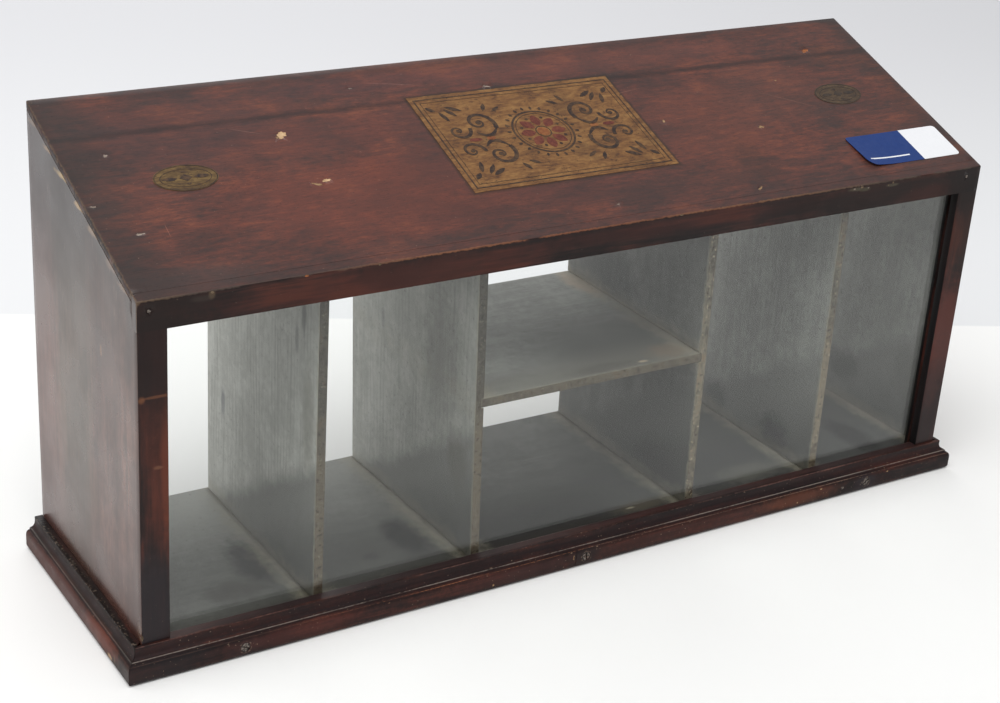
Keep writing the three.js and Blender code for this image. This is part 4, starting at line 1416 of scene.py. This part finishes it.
def add_top(top, rail, under, woods):
    """The two top boards. The front one comes forward a little to close its joints."""
    joint = (on_top(0, TOP_JOINT), UP_SLOPE)
    rear_joint = (on_top(0, TOP_JOINT + 0.3 * MM), UP_SLOPE)
    board_front = ((0, RAIL_BACK + 0.15 * MM, 0), FRONT)
    looks = [(top, OFF_SLOPE), (rail, LEFT), (rail, RIGHT), (rail, FRONT), (rail, BACK), (under, None)]
    worn_board("top_board_front", "top_wood", looks, tight=[rear_joint],
               moved=[(joint, 0.3), (board_front, 0.15)], chips=top_chips(FRONT_TOP_CHIPS, woods))
    worn_board("top_board_rear", "top_wood", looks, tight=[rear_joint],
               chips=top_chips(REAR_TOP_CHIPS, woods))


def add_rails(top, side, rail, woods):
    sill = dark_wood("sill_wood", "x", SILL_ZONES, 0.0)
    rail_back = ((0, RAIL_BACK, 0), FRONT)
    worn_board("top_rail", "dark_wood", [(top, OFF_SLOPE), (side, LEFT), (side, RIGHT), (rail, None)],
               pitch=3.0, rounding=0.5, tight=[rail_back, RAIL_SEAT], chips=plain_chips(RAIL_CHIPS, woods))
    worn_board("bottom_rail", "dark_wood", [(sill, None)], tight=[
        ((-OPENING_HALF, 0, 0), LEFT), ((OPENING_HALF, 0, 0), LEFT), ((0, FRONT_Y, 0), FRONT)])


def add_sides(side, woods, junctions):
    """The side boards and the stiles inside them."""
    stile = dark_wood("stile_wood", "z", STILE_ZONES, 0.2)
    reveal = dark_wood("reveal_wood", "z", REVEAL_PAINTED_SHADE, 0.0)
    inside = bare_wood("bare_side", "z", 1.8, SIDE_INNER_SMUDGES, 0.85, 0.3)
    for name, x, outer, inner, chips in (("left", -SIDE_INNER, LEFT, RIGHT, SIDE_CHIPS),
                                         ("right", SIDE_INNER, RIGHT, LEFT, [])):
        seam = ((x, 0, 0), LEFT)
        worn_board(f"front_stile_{name}", "dark_wood", [(reveal, inner), (stile, None)],
                   rounding=0.5, reach=2.0, tight=[seam, RAIL_SEAT])
        board = f"side_board_{name}"
        worn_board(board, "side_wood", [(side, outer), (stile, FRONT), (inside, inner), (side, None)],
                   reach=2.0, tight=[seam, RAIL_SEAT], moved=[under_top(board)],
                   chips=plain_chips(chips, woods), junctions=junctions)


def add_inner_boards(level, junctions):
    """The floor board, the shelf and the dividers."""
    edges = board_edges("board_edges", 0.9, 0.5)
    shelf = bare_wood("bare_shelf", "x", 1.95, SHELF_SMUDGES, bands=SHELF_PAINTED_LIGHT)
    floor_piece = worn_board("floor_board", "bare_wood", [(level, UP), (edges, BACK), (level, None)],
                             shortest=150, junctions=junctions)
    fill_joint(floor_piece.data, junctions, 0.35 * MM)
    worn_board("centre_shelf", "bare_wood", [(edges, FRONT), (edges, BACK), (shelf, None)],
               rounding=0.5, junctions=junctions)
    for i, (node, looks) in enumerate(zip(DIVIDERS, DIVIDER_LOOKS), 1):
        light, low_light, sawn, edge_light, foot = looks
        face = bare_wood(f"bare_divider_{i}", "z", light, DIVIDER_SMUDGES, low_light, sawn)
        edge = board_edges(f"divider_edge_{i}", edge_light, foot)
        worn_board(node, "bare_wood", [(edge, FRONT), (edge, BACK), (face, None)],
                   rounding=0.5, shortest=20, moved=[under_top(node)], junctions=junctions)


def build():
    top = top_wood()
    rail = dark_wood("rail_wood", "x", RAIL_ZONES, 0.95, FRONT_HEIGHT - 0.001)
    side = side_wood()
    level = bare_wood("bare_level", "x", 1.39, FLOOR_SMUDGES, bands=FLOOR_PAINTED_LIGHT_AND_DIRT)
    woods = {name: chip_wood(name) for name in CHIP_TONES}
    junctions = junction_lines()
    add_top(top, rail, level, woods)
    add_rails(top, side, rail, woods)
    add_sides(side, woods, junctions)
    add_inner_boards(level, junctions)
    add_mouldings(moulding_wood("front_moulding_wood", "x", FRONT_MOULD_ZONES, 1.0, 1.0, 0.0),
                  moulding_wood("side_moulding_wood", "y", SIDE_MOULD_ZONES, 0.5, 0.35, 1.0),
                  woods["tan"])
    add_transfers()
    add_label()
    steel = metal_finish()
    for node in SCREWS + ["moulding_brad", "rail_nail_left", "rail_nail_right"]:
        set_material(node, steel)
    set_material("glass_pane", glass_finish())


def set_material(node, material):
    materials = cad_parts[node].data.materials
    materials.clear()
    materials.append(material)


add_camera()
add_world()
add_floor()
add_lamp("overhead", (-0.8, -0.8, 2.6), 2.2, 52.5)
add_lamp("window", (-1.8, 1.0, 1.1), 1.4, 8)
add_lamp("behind", (0.6, 2.4, 1.2), 1.6, 14)
bpy.context.scene.view_settings.view_transform = "Standard"
build()
